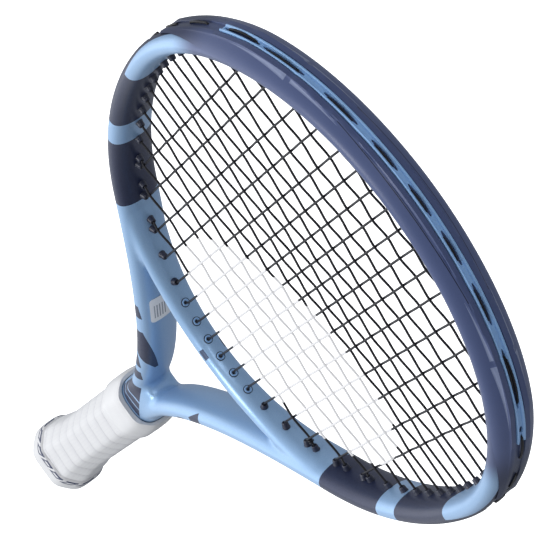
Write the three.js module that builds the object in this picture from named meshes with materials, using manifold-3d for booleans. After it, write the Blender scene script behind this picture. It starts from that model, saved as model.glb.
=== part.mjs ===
// Tennis racket, lying flat. Millimetres.
// +X runs across the head, +Y from the butt to the tip, +Z out of the string bed.
// The origin is the middle of the butt end's flat face.
import * as THREE from 'three';
import { mergeVertices } from 'three/addons/utils/BufferGeometryUtils.js';
import Module from 'manifold-3d';

const manifoldLibrary = await Module();
manifoldLibrary.setup();

// ---------------------------------------------------------------- driving dimensions
const LENGTH = 685.8; // overall, 27 inches
const GAP = 0.3; // clearance between pieces that rest on each other
const BEAM = { width: 12.2, tipWidth: 10.6, power: 2.3, wall: 1.5 };
const BUMPER = {
  start: 102.5,
  thickness: 3.1,
  clearance: 0.45,
  channelHalfWidth: 3.9,
  endChannelHalfWidth: 2.7,
};
const TIP_REACH = 137.1; // the head's centre to its inner face at the tip
const HEAD = {
  halfWidth: 120, // inner face of the hoop
  tipReach: TIP_REACH,
  throatReach: 184.3, // centre to the inner face at the bridge
  centreY: LENGTH - GAP - BUMPER.thickness - BEAM.tipWidth - TIP_REACH,
};
const DEPTH = { tip: 10.9, side: 12.3, arm: 12.0, shaft: 11.3 }; // half depths of the beam
const GROOVE = { halfWidth: 4.0, depth: 2.6 }; // string groove in the beam's outer face
const STRIP = { halfWidth: 3.6, thickness: 1.1 };
const BARREL = { halfWidth: 1.65, stand: 2.2, bore: 1.0 }; // stand is a barrel's height over the inner face
const HOLE_HALF_WIDTH = BARREL.halfWidth + GAP;
const STRING = { radius: 0.62, mainWave: 0.43, crossWave: 0.96, bend: 2.8, lane: 1.3 };
const INSERT = { start: 124, thickness: 1.5, slotHalfWidth: 2.2 };
const SIDE_STRIP = { armEnd: 0.42, end: 101.5 };
const BRIDGE = { width: 11, midDepth: 6.9, endDepth: 11, reach: 36, stripReach: 21.5 };

// Gaps between neighbouring strings: mains from the middle outwards, crosses from the tip down.
const MAIN_GAPS = [5.1, 10.3, 10.6, 11.4, 13.3, 13.1, 15.5, 15.3];
const OUTER_MAIN_SPLAY = { throat: 2.8, tip: 1.7 }; // the outermost mains lean in by this at each end
const CROSS_START = 645.8;
const CROSS_GAPS = [
  16.8, 16.5, 15.3, 14.3, 13.5, 12.5, 12.9, 12.3, 11.7, 11.5, 12.3, 12.7, 13, 13.7, 14.4, 15.8, 18.5, 21.1,
];

const HANDLE = {
  shaftEnd: 8,
  palletStart: 5,
  palletEnd: 188,
  capEnd: 62,
  shaftHalfWidth: 12.4,
  shaftHalfDepth: 10.6,
  neckHalfWidth: 13.8,
  neckY: 215,
  crotchY: 236,
};
const COLLAR = { start: 176, end: 208, clearance: 0.55, neckGap: 1.6 };
const GRIP = { halfWidth: 16.7, halfHeight: 15.2, thickness: 1.1, start: 22, end: 188, straightFrom: 68 };
const TAPERED = { from: COLLAR.start - 0.7, length: 0.4, inset: 0.4 }; // the grip's thinned end, under the collar
const PALLET = { halfWidth: 14.8, halfHeight: 13.2, capRelief: 0.9 };
const UNDERLAY = { offset: 0.25, thickness: 0.35 };
const FINISHING_TAPE = { length: 10, thickness: 0.25, offset: 0.05 };
const CAP_WALL = 3.6;
const DOOR = {
  halfWidth: 11,
  halfHeight: 7.5,
  plugHalfWidth: 9,
  plugHalfHeight: 5.5,
  flange: 1.2,
  plug: 6,
  wall: 1.4,
};
const STAPLE = { halfWidth: 5, y: 52, wire: 0.6, leg: 1.6 };
const TACK = { y: 32, head: 1.6, headDepth: 0.5, pin: 0.5, length: 2 };
const LABEL = { from: 0.37, to: 0.475, lift: 0.25, thickness: 0.2 };

// Half width and half height of the handle's outside at each y: the butt's flare and the straight grip.
const FLARE = [
  [0, 20.6, 16.4],
  [3, 21.8, 17.3],
  [12, 22, 17.5],
  [20, 21.7, 17.3],
  [34, 20.6, 16.9],
  [46, 18.8, 16.2],
  [58, 17.2, 15.5],
  [GRIP.straightFrom, GRIP.halfWidth, GRIP.halfHeight],
];

const COLOURS = {
  lightBlue: 0x7fa3d6,
  navy: 0x2b3049,
  slate: 0x4d5478,
  black: 0x141519,
  white: 0xf1f0f2,
  foam: 0xd9c58c,
  steel: 0xb9bcc2,
};

// ---------------------------------------------------------------- small helpers
const radians = THREE.MathUtils.degToRad;
const lerp = THREE.MathUtils.lerp;
const smooth = THREE.MathUtils.smoothstep;
const UP = new THREE.Vector3(0, 0, 1);

function runningSum(first, gaps) {
  const sums = [first];
  for (const gap of gaps) {
    sums.push(sums[sums.length - 1] + gap);
  }
  return sums;
}

function solve(f, low, high) {
  const rising = f(high) > f(low);
  for (let step = 0; step < 50; step += 1) {
    const middle = (low + high) / 2;
    if (f(middle) > 0 === rising) {
      high = middle;
    } else {
      low = middle;
    }
  }
  return (low + high) / 2;
}

function spread(from, to, count) {
  return Array.from({ length: count + 1 }, (_, i) => lerp(from, to, i / count));
}

// ---------------------------------------------------------------- solids
function solidOf(geometry) {
  const bare = geometry.clone();
  bare.deleteAttribute('normal');
  bare.deleteAttribute('uv');
  const merged = mergeVertices(bare, 1e-5);
  return new manifoldLibrary.Manifold(
    new manifoldLibrary.Mesh({
      numProp: 3,
      vertProperties: new Float32Array(merged.attributes.position.array),
      triVerts: new Uint32Array(merged.index.array),
    }),
  );
}

function geometryOf(solid) {
  const mesh = solid.getMesh();
  const geometry = new THREE.BufferGeometry();
  geometry.setAttribute('position', new THREE.BufferAttribute(new Float32Array(mesh.vertProperties), 3));
  geometry.setIndex(new THREE.BufferAttribute(new Uint32Array(mesh.triVerts), 1));
  geometry.computeVertexNormals();
  return geometry;
}

function signedVolume(points, faces) {
  let volume = 0;
  for (const [a, b, c] of faces) {
    volume += points[a].dot(new THREE.Vector3().crossVectors(points[b], points[c])) / 6;
  }
  return volume;
}

// A closed skin through rings of points. Each ring is {outline: [Vector2...], place: (u, z) => Vector3}.
function loft(rings) {
  const clockwise = THREE.ShapeUtils.area(rings[0].outline) < 0;
  const outlines = rings.map((ring) => (clockwise ? [...ring.outline].reverse() : ring.outline));
  const count = outlines[0].length;
  const points = rings.flatMap((ring, i) => outlines[i].map((p) => ring.place(p.x, p.y)));
  const last = (rings.length - 1) * count;
  const faces = [];
  for (let here = 0; here < last; here += count) {
    for (let j = 0; j < count; j += 1) {
      const k = (j + 1) % count;
      faces.push([here + j, here + k, here + count + k]);
      faces.push([here + j, here + count + k, here + count + j]);
    }
  }
  for (const [a, b, c] of THREE.ShapeUtils.triangulateShape(outlines[0], [])) {
    faces.push([c, b, a]);
  }
  for (const [a, b, c] of THREE.ShapeUtils.triangulateShape(outlines[rings.length - 1], [])) {
    faces.push([last + a, last + b, last + c]);
  }
  const outward = signedVolume(points, faces) > 0;
  const geometry = new THREE.BufferGeometry().setFromPoints(points);
  geometry.setIndex(faces.flatMap(([a, b, c]) => (outward ? [a, b, c] : [a, c, b])));
  return solidOf(geometry);
}

function joined(solids) {
  return manifoldLibrary.Manifold.union(solids);
}

// ---------------------------------------------------------------- outlines
function superellipse(halfWidth, halfDepth, power, angle) {
  const c = Math.cos(radians(angle));
  const s = Math.sin(radians(angle));
  return new THREE.Vector2(
    halfWidth * Math.sign(c) * Math.abs(c) ** (2 / power),
    halfDepth * Math.sign(s) * Math.abs(s) ** (2 / power),
  );
}

// The half width of a superellipse at height z.
function superellipseWidth(halfWidth, halfDepth, power, z) {
  return halfWidth * (1 - (z / halfDepth) ** power) ** (1 / power);
}

function rectangle(lowU, highU, halfZ, middleZ = 0) {
  return [
    new THREE.Vector2(lowU, middleZ - halfZ),
    new THREE.Vector2(highU, middleZ - halfZ),
    new THREE.Vector2(highU, middleZ + halfZ),
    new THREE.Vector2(lowU, middleZ + halfZ),
  ];
}

// An octagon whose wide flats face up and down, as on a racket handle.
function octagon(halfWidth, halfHeight, flatShare = 0.52, sideShare = 0.44) {
  const flat = halfWidth * flatShare;
  const side = halfHeight * sideShare;
  const quarter = [
    [halfWidth, side],
    [flat, halfHeight],
    [-flat, halfHeight],
    [-halfWidth, side],
  ];
  const points = quarter.map(([x, z]) => new THREE.Vector2(x, z));
  const below = quarter.map(([x, z]) => new THREE.Vector2(-x, -z));
  return points.concat(below);
}

// ---------------------------------------------------------------- hoop and arms
// The head's inner edge. turn is 0 at the throat, 180 at the tip, positive on +X.
function innerEdge(turn) {
  const a = radians(turn);
  const reach = Math.cos(a) > 0 ? HEAD.throatReach : HEAD.tipReach;
  const edge = new THREE.Vector2(HEAD.halfWidth * Math.sin(a), HEAD.centreY - reach * Math.cos(a));
  const normal = new THREE.Vector2(reach * Math.sin(a), -HEAD.halfWidth * Math.cos(a)).normalize();
  return { edge, normal };
}

// 0 on the flanks, 1 round the tip where the bumper covers the beam.
function tipness(turn) {
  return smooth(180 - Math.abs(180 - turn), 98, 130);
}

function beamWidth(turn) {
  return lerp(BEAM.width, BEAM.tipWidth, tipness(turn));
}

function grooveFloor(turn) {
  return beamWidth(turn) - GROOVE.depth * (1 - tipness(turn));
}

function hoopDepth(turn) {
  const fromTip = smooth(Math.abs(180 - turn), 10, 90);
  return lerp(DEPTH.tip, DEPTH.side, fromTip);
}

// The turn at which an arm leaves the hoop, at a tangent.
const BRANCH_TURN = 43.3;

function armCurve() {
  const { edge, normal } = innerEdge(BRANCH_TURN);
  const start = edge.clone().addScaledVector(normal, BEAM.width / 2);
  const tangent = new THREE.Vector2(normal.y, -normal.x);
  return new THREE.CubicBezierCurve(
    start,
    start.clone().addScaledVector(tangent, 75),
    new THREE.Vector2(7.5, 272),
    new THREE.Vector2(6.8, 212),
  );
}
const ARM = armCurve();

function armNormal(t) {
  const tangent = ARM.getTangent(t);
  return new THREE.Vector2(-tangent.y, tangent.x);
}

// A frame on the beam: origin on the centre line, u outwards, z up.
function station(centre, normal, side = 1) {
  return (u, z) => new THREE.Vector3(side * (centre.x + normal.x * u), centre.y + normal.y * u, z);
}

// A frame across the handle or the shaft.
function crossSection(y) {
  return (x, z) => new THREE.Vector3(x, y, z);
}

function hoopPlace(turn) {
  const { edge, normal } = innerEdge(turn);
  return station(edge, normal);
}

function armPlace(t, side) {
  return station(ARM.getPoint(t), armNormal(t), side);
}

// The beam's section about its centre line, with the string groove in its outer face.
function beamOutline(halfWidth, halfDepth, groove) {
  const outer = [];
  for (const angle of [29, 58, 88, 122, 158]) {
    outer.push(superellipse(halfWidth, halfDepth, BEAM.power, angle));
  }
  const lip = new THREE.Vector2(halfWidth * 0.975, GROOVE.halfWidth);
  const floor = new THREE.Vector2(lip.x - Math.max(groove, 0.02), GROOVE.halfWidth - 0.15);
  const upper = [floor, lip, ...outer];
  const lower = upper.map((p) => new THREE.Vector2(p.x, -p.y)).reverse();
  return upper.concat(lower);
}

function boreOutline(halfWidth, halfDepth, groove) {
  const reach = halfWidth - BEAM.wall - groove / 2;
  const shift = -groove / 2;
  return spread(22.5, 337.5, 7).map((angle) => {
    const p = superellipse(reach, halfDepth - BEAM.wall, 2.1, angle);
    return new THREE.Vector2(p.x + shift, p.y);
  });
}

function moved(outline, shift) {
  return outline.map((p) => new THREE.Vector2(p.x + shift, p.y));
}

function hoopRing(turn, outlineOf) {
  const half = beamWidth(turn) / 2;
  const groove = beamWidth(turn) - grooveFloor(turn);
  return { outline: moved(outlineOf(half, hoopDepth(turn), groove), half), place: hoopPlace(turn) };
}

function armGroove(t) {
  return GROOVE.depth * (1 - smooth(t, SIDE_STRIP.armEnd, SIDE_STRIP.armEnd + 0.1));
}

function armRing(t, side, outlineOf) {
  const depth = lerp(DEPTH.side, DEPTH.arm, t);
  return { outline: outlineOf(BEAM.width / 2, depth, armGroove(t)), place: armPlace(t, side) };
}

function legRing(y, side, outlineOf) {
  const centre = new THREE.Vector2(6.2, y);
  const normal = new THREE.Vector2(1, 0);
  const outline = outlineOf(BEAM.width / 2, HANDLE.shaftHalfDepth, 0);
  return { outline, place: station(centre, normal, side) };
}

function beamRings(outlineOf, armSteps, hoopSteps) {
  const right = armSteps.map((t) => armRing(t, 1, outlineOf));
  const left = armSteps.map((t) => armRing(t, -1, outlineOf)).reverse();
  const hoop = spread(BRANCH_TURN, 360 - BRANCH_TURN, hoopSteps)
    .slice(1, -1)
    .map((turn) => hoopRing(turn, outlineOf));
  return [...right, ...hoop, ...left];
}

function shaftRings() {
  const outline = (halfWidth, halfDepth) =>
    spread(15, 345, 11).map((angle) => superellipse(halfWidth, halfDepth, 2.8, angle));
  const sizes = [
    [HANDLE.shaftEnd, HANDLE.shaftHalfWidth, HANDLE.shaftHalfDepth],
    [HANDLE.palletEnd, HANDLE.shaftHalfWidth, HANDLE.shaftHalfDepth],
    [HANDLE.palletEnd + 10, HANDLE.neckHalfWidth, DEPTH.shaft],
    [HANDLE.neckY, HANDLE.neckHalfWidth, DEPTH.shaft],
    [HANDLE.neckY + 8, HANDLE.neckHalfWidth - 1.4, DEPTH.shaft - 0.2],
    [HANDLE.crotchY - 5, HANDLE.neckHalfWidth * 0.66, DEPTH.shaft * 0.9],
    [HANDLE.crotchY - 1, HANDLE.neckHalfWidth * 0.36, DEPTH.shaft * 0.72],
    [HANDLE.crotchY, HANDLE.neckHalfWidth * 0.2, DEPTH.shaft * 0.55],
  ];
  return sizes.map(([y, w, d]) => ({ outline: outline(w, d), place: crossSection(y) }));
}

// A rail value names a place along one side of the outer face: on the hoop it is the turn, and it
// carries on below BRANCH_TURN down the arm, ARM_RAIL units to the arm's whole length.
const ARM_RAIL = 60;

function railPlace(rail, side) {
  if (rail < BRANCH_TURN) {
    const place = armPlace((BRANCH_TURN - rail) / ARM_RAIL, side);
    return (u, z) => place(u + BEAM.width / 2 - GROOVE.depth, z);
  }
  const { edge, normal } = innerEdge(rail);
  const place = station(edge, normal, side);
  return (u, z) => place(u + grooveFloor(rail), z);
}

// ---------------------------------------------------------------- string holes
// Each hole runs outwards from the bend point, just inside the hoop, to the lane the string follows outside.
// surface is the distance from the origin of its frame to the face the strip lies on.
function hoopHole(turn) {
  const { edge, normal } = innerEdge(turn);
  return { origin: edge, normal, surface: grooveFloor(turn), rail: turn };
}

function armHole(turn) {
  const { edge } = innerEdge(turn);
  const across = (t) => ARM.getPoint(t).sub(edge).dot(ARM.getTangent(t));
  const t = solve(across, 0, 0.6);
  const normal = armNormal(t);
  const depth = ARM.getPoint(t).sub(edge).dot(normal);
  const surface = depth + BEAM.width / 2 - GROOVE.depth;
  return { origin: edge, normal, surface, rail: BRANCH_TURN - t * ARM_RAIL };
}

function bridgeHole(turn) {
  const { edge, normal } = innerEdge(turn);
  return { origin: edge, normal, surface: BRIDGE.width, rail: turn };
}

function throatSideHole(turn) {
  if (turn > BRANCH_TURN) {
    return hoopHole(turn);
  }
  return turn < BRIDGE.stripReach ? bridgeHole(turn) : armHole(turn);
}

// The string's centre above the face under the strip.
const LANE_RISE = GAP + STRIP.thickness + GAP + STRING.radius;

function bendPoint(hole) {
  return hole.origin.clone().addScaledVector(hole.normal, -STRING.bend);
}

function finishedHole(hole, turn, side, lane, owner) {
  const place = station(hole.origin, hole.normal, side);
  const outside = hole.surface + LANE_RISE;
  const run = outside + STRING.bend;
  const at = (u) => place(u, (lane * (u + STRING.bend)) / run);
  return { at, outside, surface: hole.surface, rail: hole.rail, turn, side, lane, owner };
}

function mainHole(x, side, end) {
  const tip = end === 'tip';
  const kind = tip ? hoopHole : throatSideHole;
  const miss = (turn) => bendPoint(kind(turn)).x - x;
  const turn = tip ? solve(miss, 90, 180) : solve(miss, 0, 75);
  const owner = tip ? 'bumper' : turn < BRIDGE.stripReach ? 'throat' : 'side';
  return finishedHole(kind(turn), turn, side, STRING.lane, owner);
}

function crossHole(y, side) {
  const kind = (turn) => (turn < BRANCH_TURN ? armHole(turn) : hoopHole(turn));
  const turn = solve((angle) => bendPoint(kind(angle)).y - y, 25, 178);
  const owner = turn > BUMPER.start ? 'bumper' : 'side';
  return finishedHole(kind(turn), turn, side, -STRING.lane, owner);
}

const mainOffsets = runningSum(0, MAIN_GAPS).slice(1);
const mains = [...mainOffsets].reverse().map((x) => ({ x: -x }));
mainOffsets.forEach((x) => mains.push({ x }));
for (const main of mains) {
  const side = Math.sign(main.x);
  const splay = Math.abs(main.x) === mainOffsets.at(-1) ? OUTER_MAIN_SPLAY : { throat: 0, tip: 0 };
  main.throat = mainHole(Math.abs(main.x) - splay.throat, side, 'throat');
  main.tip = mainHole(Math.abs(main.x) - splay.tip, side, 'tip');
  main.low = main.throat.at(-STRING.bend);
  main.high = main.tip.at(-STRING.bend);
  main.xAt = (y) => lerp(main.low.x, main.high.x, (y - main.low.y) / (main.high.y - main.low.y));
}
const crosses = runningSum(-CROSS_START, CROSS_GAPS).map((y) => ({ y: -y }));
for (const cross of crosses) {
  cross.left = crossHole(cross.y, -1);
  cross.right = crossHole(cross.y, 1);
}
const holes = [...mains.flatMap((m) => [m.throat, m.tip]), ...crosses.flatMap((c) => [c.left, c.right])];

// A square prism along a hole's axis, from one distance to another.
function holePrism(hole, from, to, halfWidth) {
  const along = hole.at(to).sub(hole.at(from)).normalize();
  const sideways = new THREE.Vector3().crossVectors(along, UP).normalize();
  const raised = new THREE.Vector3().crossVectors(sideways, along);
  const ring = (u) => ({
    outline: rectangle(-halfWidth, halfWidth, halfWidth),
    place: (a, b) => hole.at(u).addScaledVector(sideways, a).addScaledVector(raised, b),
  });
  return loft([ring(from), ring(to)]);
}

function drilled(solid, wanted) {
  const cutters = wanted.map((hole) => holePrism(hole, -1, hole.surface + GROOVE.depth, HOLE_HALF_WIDTH));
  return solid.subtract(joined(cutters));
}

function withBarrels(strip, wanted) {
  const barrels = wanted.map((hole) =>
    holePrism(hole, -BARREL.stand, hole.surface + GAP + STRIP.thickness / 2, BARREL.halfWidth),
  );
  const bores = wanted.map((hole) =>
    holePrism(hole, -BARREL.stand - 1, hole.surface + GAP + STRIP.thickness + 1, BARREL.bore),
  );
  return joined([strip, ...barrels]).subtract(joined(bores));
}

// ---------------------------------------------------------------- frame
const ARM_STEPS = [1, ...spread(0.9, 0.1, 10), 0];
const HOOP_STEPS = 46;

function frameHairpin() {
  const beam = loft(beamRings(beamOutline, ARM_STEPS, HOOP_STEPS));
  const shell = joined([beam, loft(shaftRings())]);
  const legYs = [HANDLE.shaftEnd - 2, 150, 196];
  const rightLeg = legYs.map((y) => legRing(y, 1, boreOutline));
  const leftLeg = legYs.map((y) => legRing(y, -1, boreOutline)).reverse();
  const boreBeam = beamRings(boreOutline, [1, 0.85, 0.7, 0.55, 0.42, 0.3, 0.15, 0], 28);
  const bore = loft([...rightLeg, ...boreBeam, ...leftLeg]);
  return drilled(
    shell.subtract(bore),
    holes.filter((hole) => hole.owner !== 'throat'),
  );
}

function bridgeDepth(turn) {
  const share = Math.min(1, Math.abs(turn) / BRIDGE.reach);
  return lerp(BRIDGE.midDepth, BRIDGE.endDepth, share ** 2);
}

function throatBridge() {
  const outline = (turn) =>
    spread(15, 345, 11).map((angle) => superellipse(BRIDGE.width / 2, bridgeDepth(turn), 2.2, angle));
  const rings = spread(-BRIDGE.reach, BRIDGE.reach, 20).map((turn) => ({
    outline: moved(outline(turn), BRIDGE.width / 2),
    place: hoopPlace(turn),
  }));
  const fattened = (halfWidth, halfDepth) =>
    spread(10, 350, 17).map((angle) =>
      superellipse(halfWidth + GAP, halfDepth + GAP, BEAM.power, angle),
    );
  const arms = loft(beamRings(fattened, ARM_STEPS.slice(2), HOOP_STEPS));
  const solid = loft(rings).subtract(arms);
  return drilled(
    solid,
    holes.filter((hole) => Math.abs(hole.turn) < BRIDGE.reach + 4),
  );
}

// ---------------------------------------------------------------- bumper, insert and grommet strips
function bumperOutline(turn) {
  const half = beamWidth(turn) / 2;
  const depth = hoopDepth(turn);
  const cover = smooth(180 - Math.abs(180 - turn), BUMPER.start, BUMPER.start + 22);
  const thickness = lerp(0.7, BUMPER.thickness, cover);
  const reach = lerp(42, 76, cover);
  const channel = lerp(BUMPER.endChannelHalfWidth, BUMPER.channelHalfWidth, tipness(turn));
  const base = grooveFloor(turn) - half + GAP;
  const skin = (angle, grow) => superellipse(half + grow, depth + grow, BEAM.power, angle);
  const skinAt = (z, grow) => superellipseWidth(half + grow, depth + grow, BEAM.power, z);
  const step = GROOVE.halfWidth + GAP + 0.1;
  const upper = [
    new THREE.Vector2(base + STRIP.thickness, channel - 0.1),
    new THREE.Vector2(skinAt(channel, GAP + thickness), channel),
    skin(lerp(24, reach, 0.35), GAP + thickness * 0.95),
    skin(lerp(24, reach, 0.75), GAP + thickness * 0.75),
    skin(reach, GAP + 0.5),
    skin(reach - 1, GAP),
    skin(lerp(24, reach, 0.5), BUMPER.clearance),
    new THREE.Vector2(skinAt(step, BUMPER.clearance), step),
    new THREE.Vector2(skinAt(STRIP.halfWidth, BUMPER.clearance), STRIP.halfWidth + 0.05),
    new THREE.Vector2(base + 0.1, STRIP.halfWidth),
    new THREE.Vector2(base, STRIP.halfWidth - 0.1),
  ];
  const lower = upper.map((p) => new THREE.Vector2(p.x, -p.y)).reverse();
  return moved(upper.concat(lower), half);
}

function bumperGuard() {
  const rings = spread(BUMPER.start, 360 - BUMPER.start, 30).map((turn) => ({
    outline: bumperOutline(turn),
    place: hoopPlace(turn),
  }));
  return withBarrels(
    loft(rings),
    holes.filter((hole) => hole.owner === 'bumper'),
  );
}

// A strip of rectangular section round the hoop; floorOf gives its lower face.
function hoopStrip(from, to, steps, floorOf, thickness, halfWidth) {
  return loft(
    spread(from, to, steps).map((turn) => ({
      outline: rectangle(floorOf(turn), floorOf(turn) + thickness, halfWidth),
      place: hoopPlace(turn),
    })),
  );
}

function fullTurn(hole) {
  return hole.side > 0 ? hole.rail : 360 - hole.rail;
}

function channelInsert() {
  const floorOf = (turn) => grooveFloor(turn) + GAP + STRIP.thickness + GAP;
  const strip = hoopStrip(INSERT.start, 360 - INSERT.start, 30, floorOf, INSERT.thickness, STRIP.halfWidth);
  const margin = 0.9; // degrees of slot beyond each hole
  const slots = [...outerLoops(), ...freeEnds().map((hole) => [hole, hole])]
    .filter(([a, b]) => a.owner === 'bumper' && b.owner === 'bumper')
    .map(([a, b]) => [fullTurn(a), fullTurn(b)].sort((low, high) => low - high))
    .filter(([low, high]) => high > INSERT.start && low < 360 - INSERT.start)
    .map(([low, high]) => {
      const lower = (turn) => floorOf(turn) - 1;
      return hoopStrip(low - margin, high + margin, 4, lower, INSERT.thickness + 2, INSERT.slotHalfWidth);
    });
  return strip.subtract(joined(slots));
}

function sideStripRings(side) {
  const low = BEAM.width / 2 - GROOVE.depth + GAP;
  const arm = spread(SIDE_STRIP.armEnd, 0.06, 6).map((t) => ({
    outline: rectangle(low, low + STRIP.thickness, STRIP.halfWidth),
    place: armPlace(t, side),
  }));
  const hoop = spread(BRANCH_TURN, SIDE_STRIP.end, 10).map((turn) => {
    const floor = grooveFloor(turn) + GAP;
    const { edge, normal } = innerEdge(turn);
    return {
      outline: rectangle(floor, floor + STRIP.thickness, STRIP.halfWidth),
      place: station(edge, normal, side),
    };
  });
  return [...arm, ...hoop];
}

function sideGrommets(side) {
  return withBarrels(
    loft(sideStripRings(side)),
    holes.filter((hole) => hole.owner === 'side' && hole.side === side),
  );
}

function throatGrommets() {
  const floorOf = () => BRIDGE.width + GAP;
  const reach = BRIDGE.stripReach;
  const strip = hoopStrip(-reach, reach, 10, floorOf, STRIP.thickness, STRIP.halfWidth);
  return withBarrels(
    strip,
    holes.filter((hole) => hole.owner === 'throat'),
  );
}

// ---------------------------------------------------------------- strings
// Pairs of holes joined by a loop outside the frame, for the mains and then the crosses.
function outerLoops() {
  const loops = [];
  mains.slice(1).forEach((main, i) => {
    const end = joinsAtTip(i) ? 'tip' : 'throat';
    loops.push([mains[i][end], main[end]]);
  });
  crosses.slice(1).forEach((cross, i) => {
    const end = i % 2 === 0 ? 'right' : 'left';
    loops.push([crosses[i][end], cross[end]]);
  });
  return loops;
}

// The holes where a string ends in a knot.
function freeEnds() {
  return [mains[0].tip, mains.at(-1).tip, crosses[0].left, crosses.at(-1).right];
}

// The loops between the mains change ends each time, and the middle two are joined at the tip.
function joinsAtTip(i) {
  return i % 2 === 1;
}

// Points of a loop along the outside of the frame, between two holes.
function loopPoints(from, to) {
  const shares = spread(0, 1, 3).slice(1, -1);
  if (from.owner === 'throat') {
    const rise = BRIDGE.width + LANE_RISE;
    const turns = shares.map((share) => lerp(from.side * from.turn, to.side * to.turn, share));
    return turns.map((turn) => hoopPlace(turn)(rise, from.lane));
  }
  return shares.map((share) => {
    const full = lerp(fullTurn(from), fullTurn(to), share);
    const side = full < 180 ? 1 : -1;
    return railPlace(side > 0 ? full : 360 - full, side)(LANE_RISE, from.lane);
  });
}

// A four-sided tube through the points, with a sharp mitred ring at each.
function stringTube(points) {
  const corner = [
    new THREE.Vector2(STRING.radius, 0),
    new THREE.Vector2(0, STRING.radius),
    new THREE.Vector2(-STRING.radius, 0),
    new THREE.Vector2(0, -STRING.radius),
  ];
  const heading = (i) => points[i + 1].clone().sub(points[i]).normalize();
  const rings = points.map((point, i) => {
    const before = heading(Math.max(0, i - 1));
    const after = heading(Math.min(points.length - 2, i));
    const along = before.clone().add(after).normalize();
    const sideways = new THREE.Vector3().crossVectors(along, UP).normalize();
    const raised = new THREE.Vector3().crossVectors(sideways, along);
    const stretch = 1 / Math.max(0.5, along.dot(after));
    return {
      outline: corner,
      place: (a, b) => point.clone().addScaledVector(sideways, a * stretch).addScaledVector(raised, b),
    };
  });
  return loft(rings);
}

function knot(at) {
  const geometry = new THREE.IcosahedronGeometry(STRING.radius * 2, 0);
  geometry.translate(at.x, at.y, at.z);
  return solidOf(geometry);
}

// The height of a string where main and cross meet: they change places at each crossing.
function crossingSign(mainIndex, crossIndex) {
  return (mainIndex + crossIndex) % 2 === 0 ? 1 : -1;
}

// True where a main and a cross both still run free of the hoop, so that they meet.
function meets(main, cross) {
  const inLength = cross.y > main.low.y && cross.y < main.high.y;
  return inLength && Math.abs(main.xAt(cross.y)) < cross.right.at(-STRING.bend).x;
}

function mainRun(main, index) {
  const crossed = crosses
    .map((cross, k) => ({ cross, z: -STRING.mainWave * crossingSign(index, k) }))
    .filter(({ cross }) => meets(main, cross))
    .map(({ cross, z }) => new THREE.Vector3(main.xAt(cross.y), cross.y, z))
    .reverse();
  const { throat, tip, low, high } = main;
  return [throat.at(throat.outside), low, ...crossed, high, tip.at(tip.outside)];
}

function crossRun(cross, index) {
  const crossed = mains
    .map((main, i) => ({ main, z: STRING.crossWave * crossingSign(i, index) }))
    .filter(({ main }) => meets(main, cross))
    .map(({ main, z }) => new THREE.Vector3(main.xAt(cross.y), cross.y, z));
  return [cross.left.at(cross.left.outside), cross.left.at(-STRING.bend), ...crossed,
    cross.right.at(-STRING.bend), cross.right.at(cross.right.outside)];
}

function knotPlace(run, fromEnd) {
  const bend = fromEnd ? run[run.length - 2] : run[1];
  const next = fromEnd ? run[run.length - 3] : run[2];
  return bend.clone().lerp(next, 3 / bend.distanceTo(next));
}

function mainString() {
  const points = [];
  mains.forEach((main, i) => {
    const run = mainRun(main, i);
    points.push(...(joinsAtTip(i) ? run : run.reverse()));
    if (i < mains.length - 1) {
      const end = joinsAtTip(i) ? 'tip' : 'throat';
      points.push(...loopPoints(main[end], mains[i + 1][end]));
    }
  });
  const final = mains.length - 1;
  const first = knotPlace(mainRun(mains[0], 0), true);
  const last = knotPlace(mainRun(mains[final], final), true);
  return joined([stringTube(points), knot(first), knot(last)]);
}

function crossString() {
  const points = [];
  crosses.forEach((cross, k) => {
    const run = crossRun(cross, k);
    const rightwards = k % 2 === 0;
    points.push(...(rightwards ? run : run.reverse()));
    if (k < crosses.length - 1) {
      const end = rightwards ? 'right' : 'left';
      points.push(...loopPoints(cross[end], crosses[k + 1][end]));
    }
  });
  const final = crosses.length - 1;
  const first = knotPlace(crossRun(crosses[0], 0), false);
  const last = knotPlace(crossRun(crosses[final], final), true);
  return joined([stringTube(points), knot(first), knot(last)]);
}

// ---------------------------------------------------------------- handle
function flareAt(y) {
  const next = FLARE.findIndex(([at]) => at >= y);
  if (next < 0) {
    return [GRIP.halfWidth, GRIP.halfHeight];
  }
  if (next === 0) {
    return FLARE[0].slice(1);
  }
  const [y0, w0, h0] = FLARE[next - 1];
  const [y1, w1, h1] = FLARE[next];
  const share = (y - y0) / (y1 - y0);
  return [lerp(w0, w1, share), lerp(h0, h1, share)];
}

// An octagonal solid through [y, half width, half height] rows.
function octagonLoft(rows) {
  return loft(rows.map(([y, w, h]) => ({ outline: octagon(w, h), place: crossSection(y) })));
}

function flareRows(from, to, inset) {
  const ys = [from, ...FLARE.map(([y]) => y).filter((y) => y > from && y < to), to];
  return ys.map((y) => {
    const [w, h] = flareAt(y);
    return [y, w - inset, h - inset];
  });
}

function bar(x0, x1, y0, y1, z0, z1) {
  const box = new THREE.BoxGeometry(x1 - x0, y1 - y0, z1 - z0);
  box.translate((x0 + x1) / 2, (y0 + y1) / 2, (z0 + z1) / 2);
  return solidOf(box);
}

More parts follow.
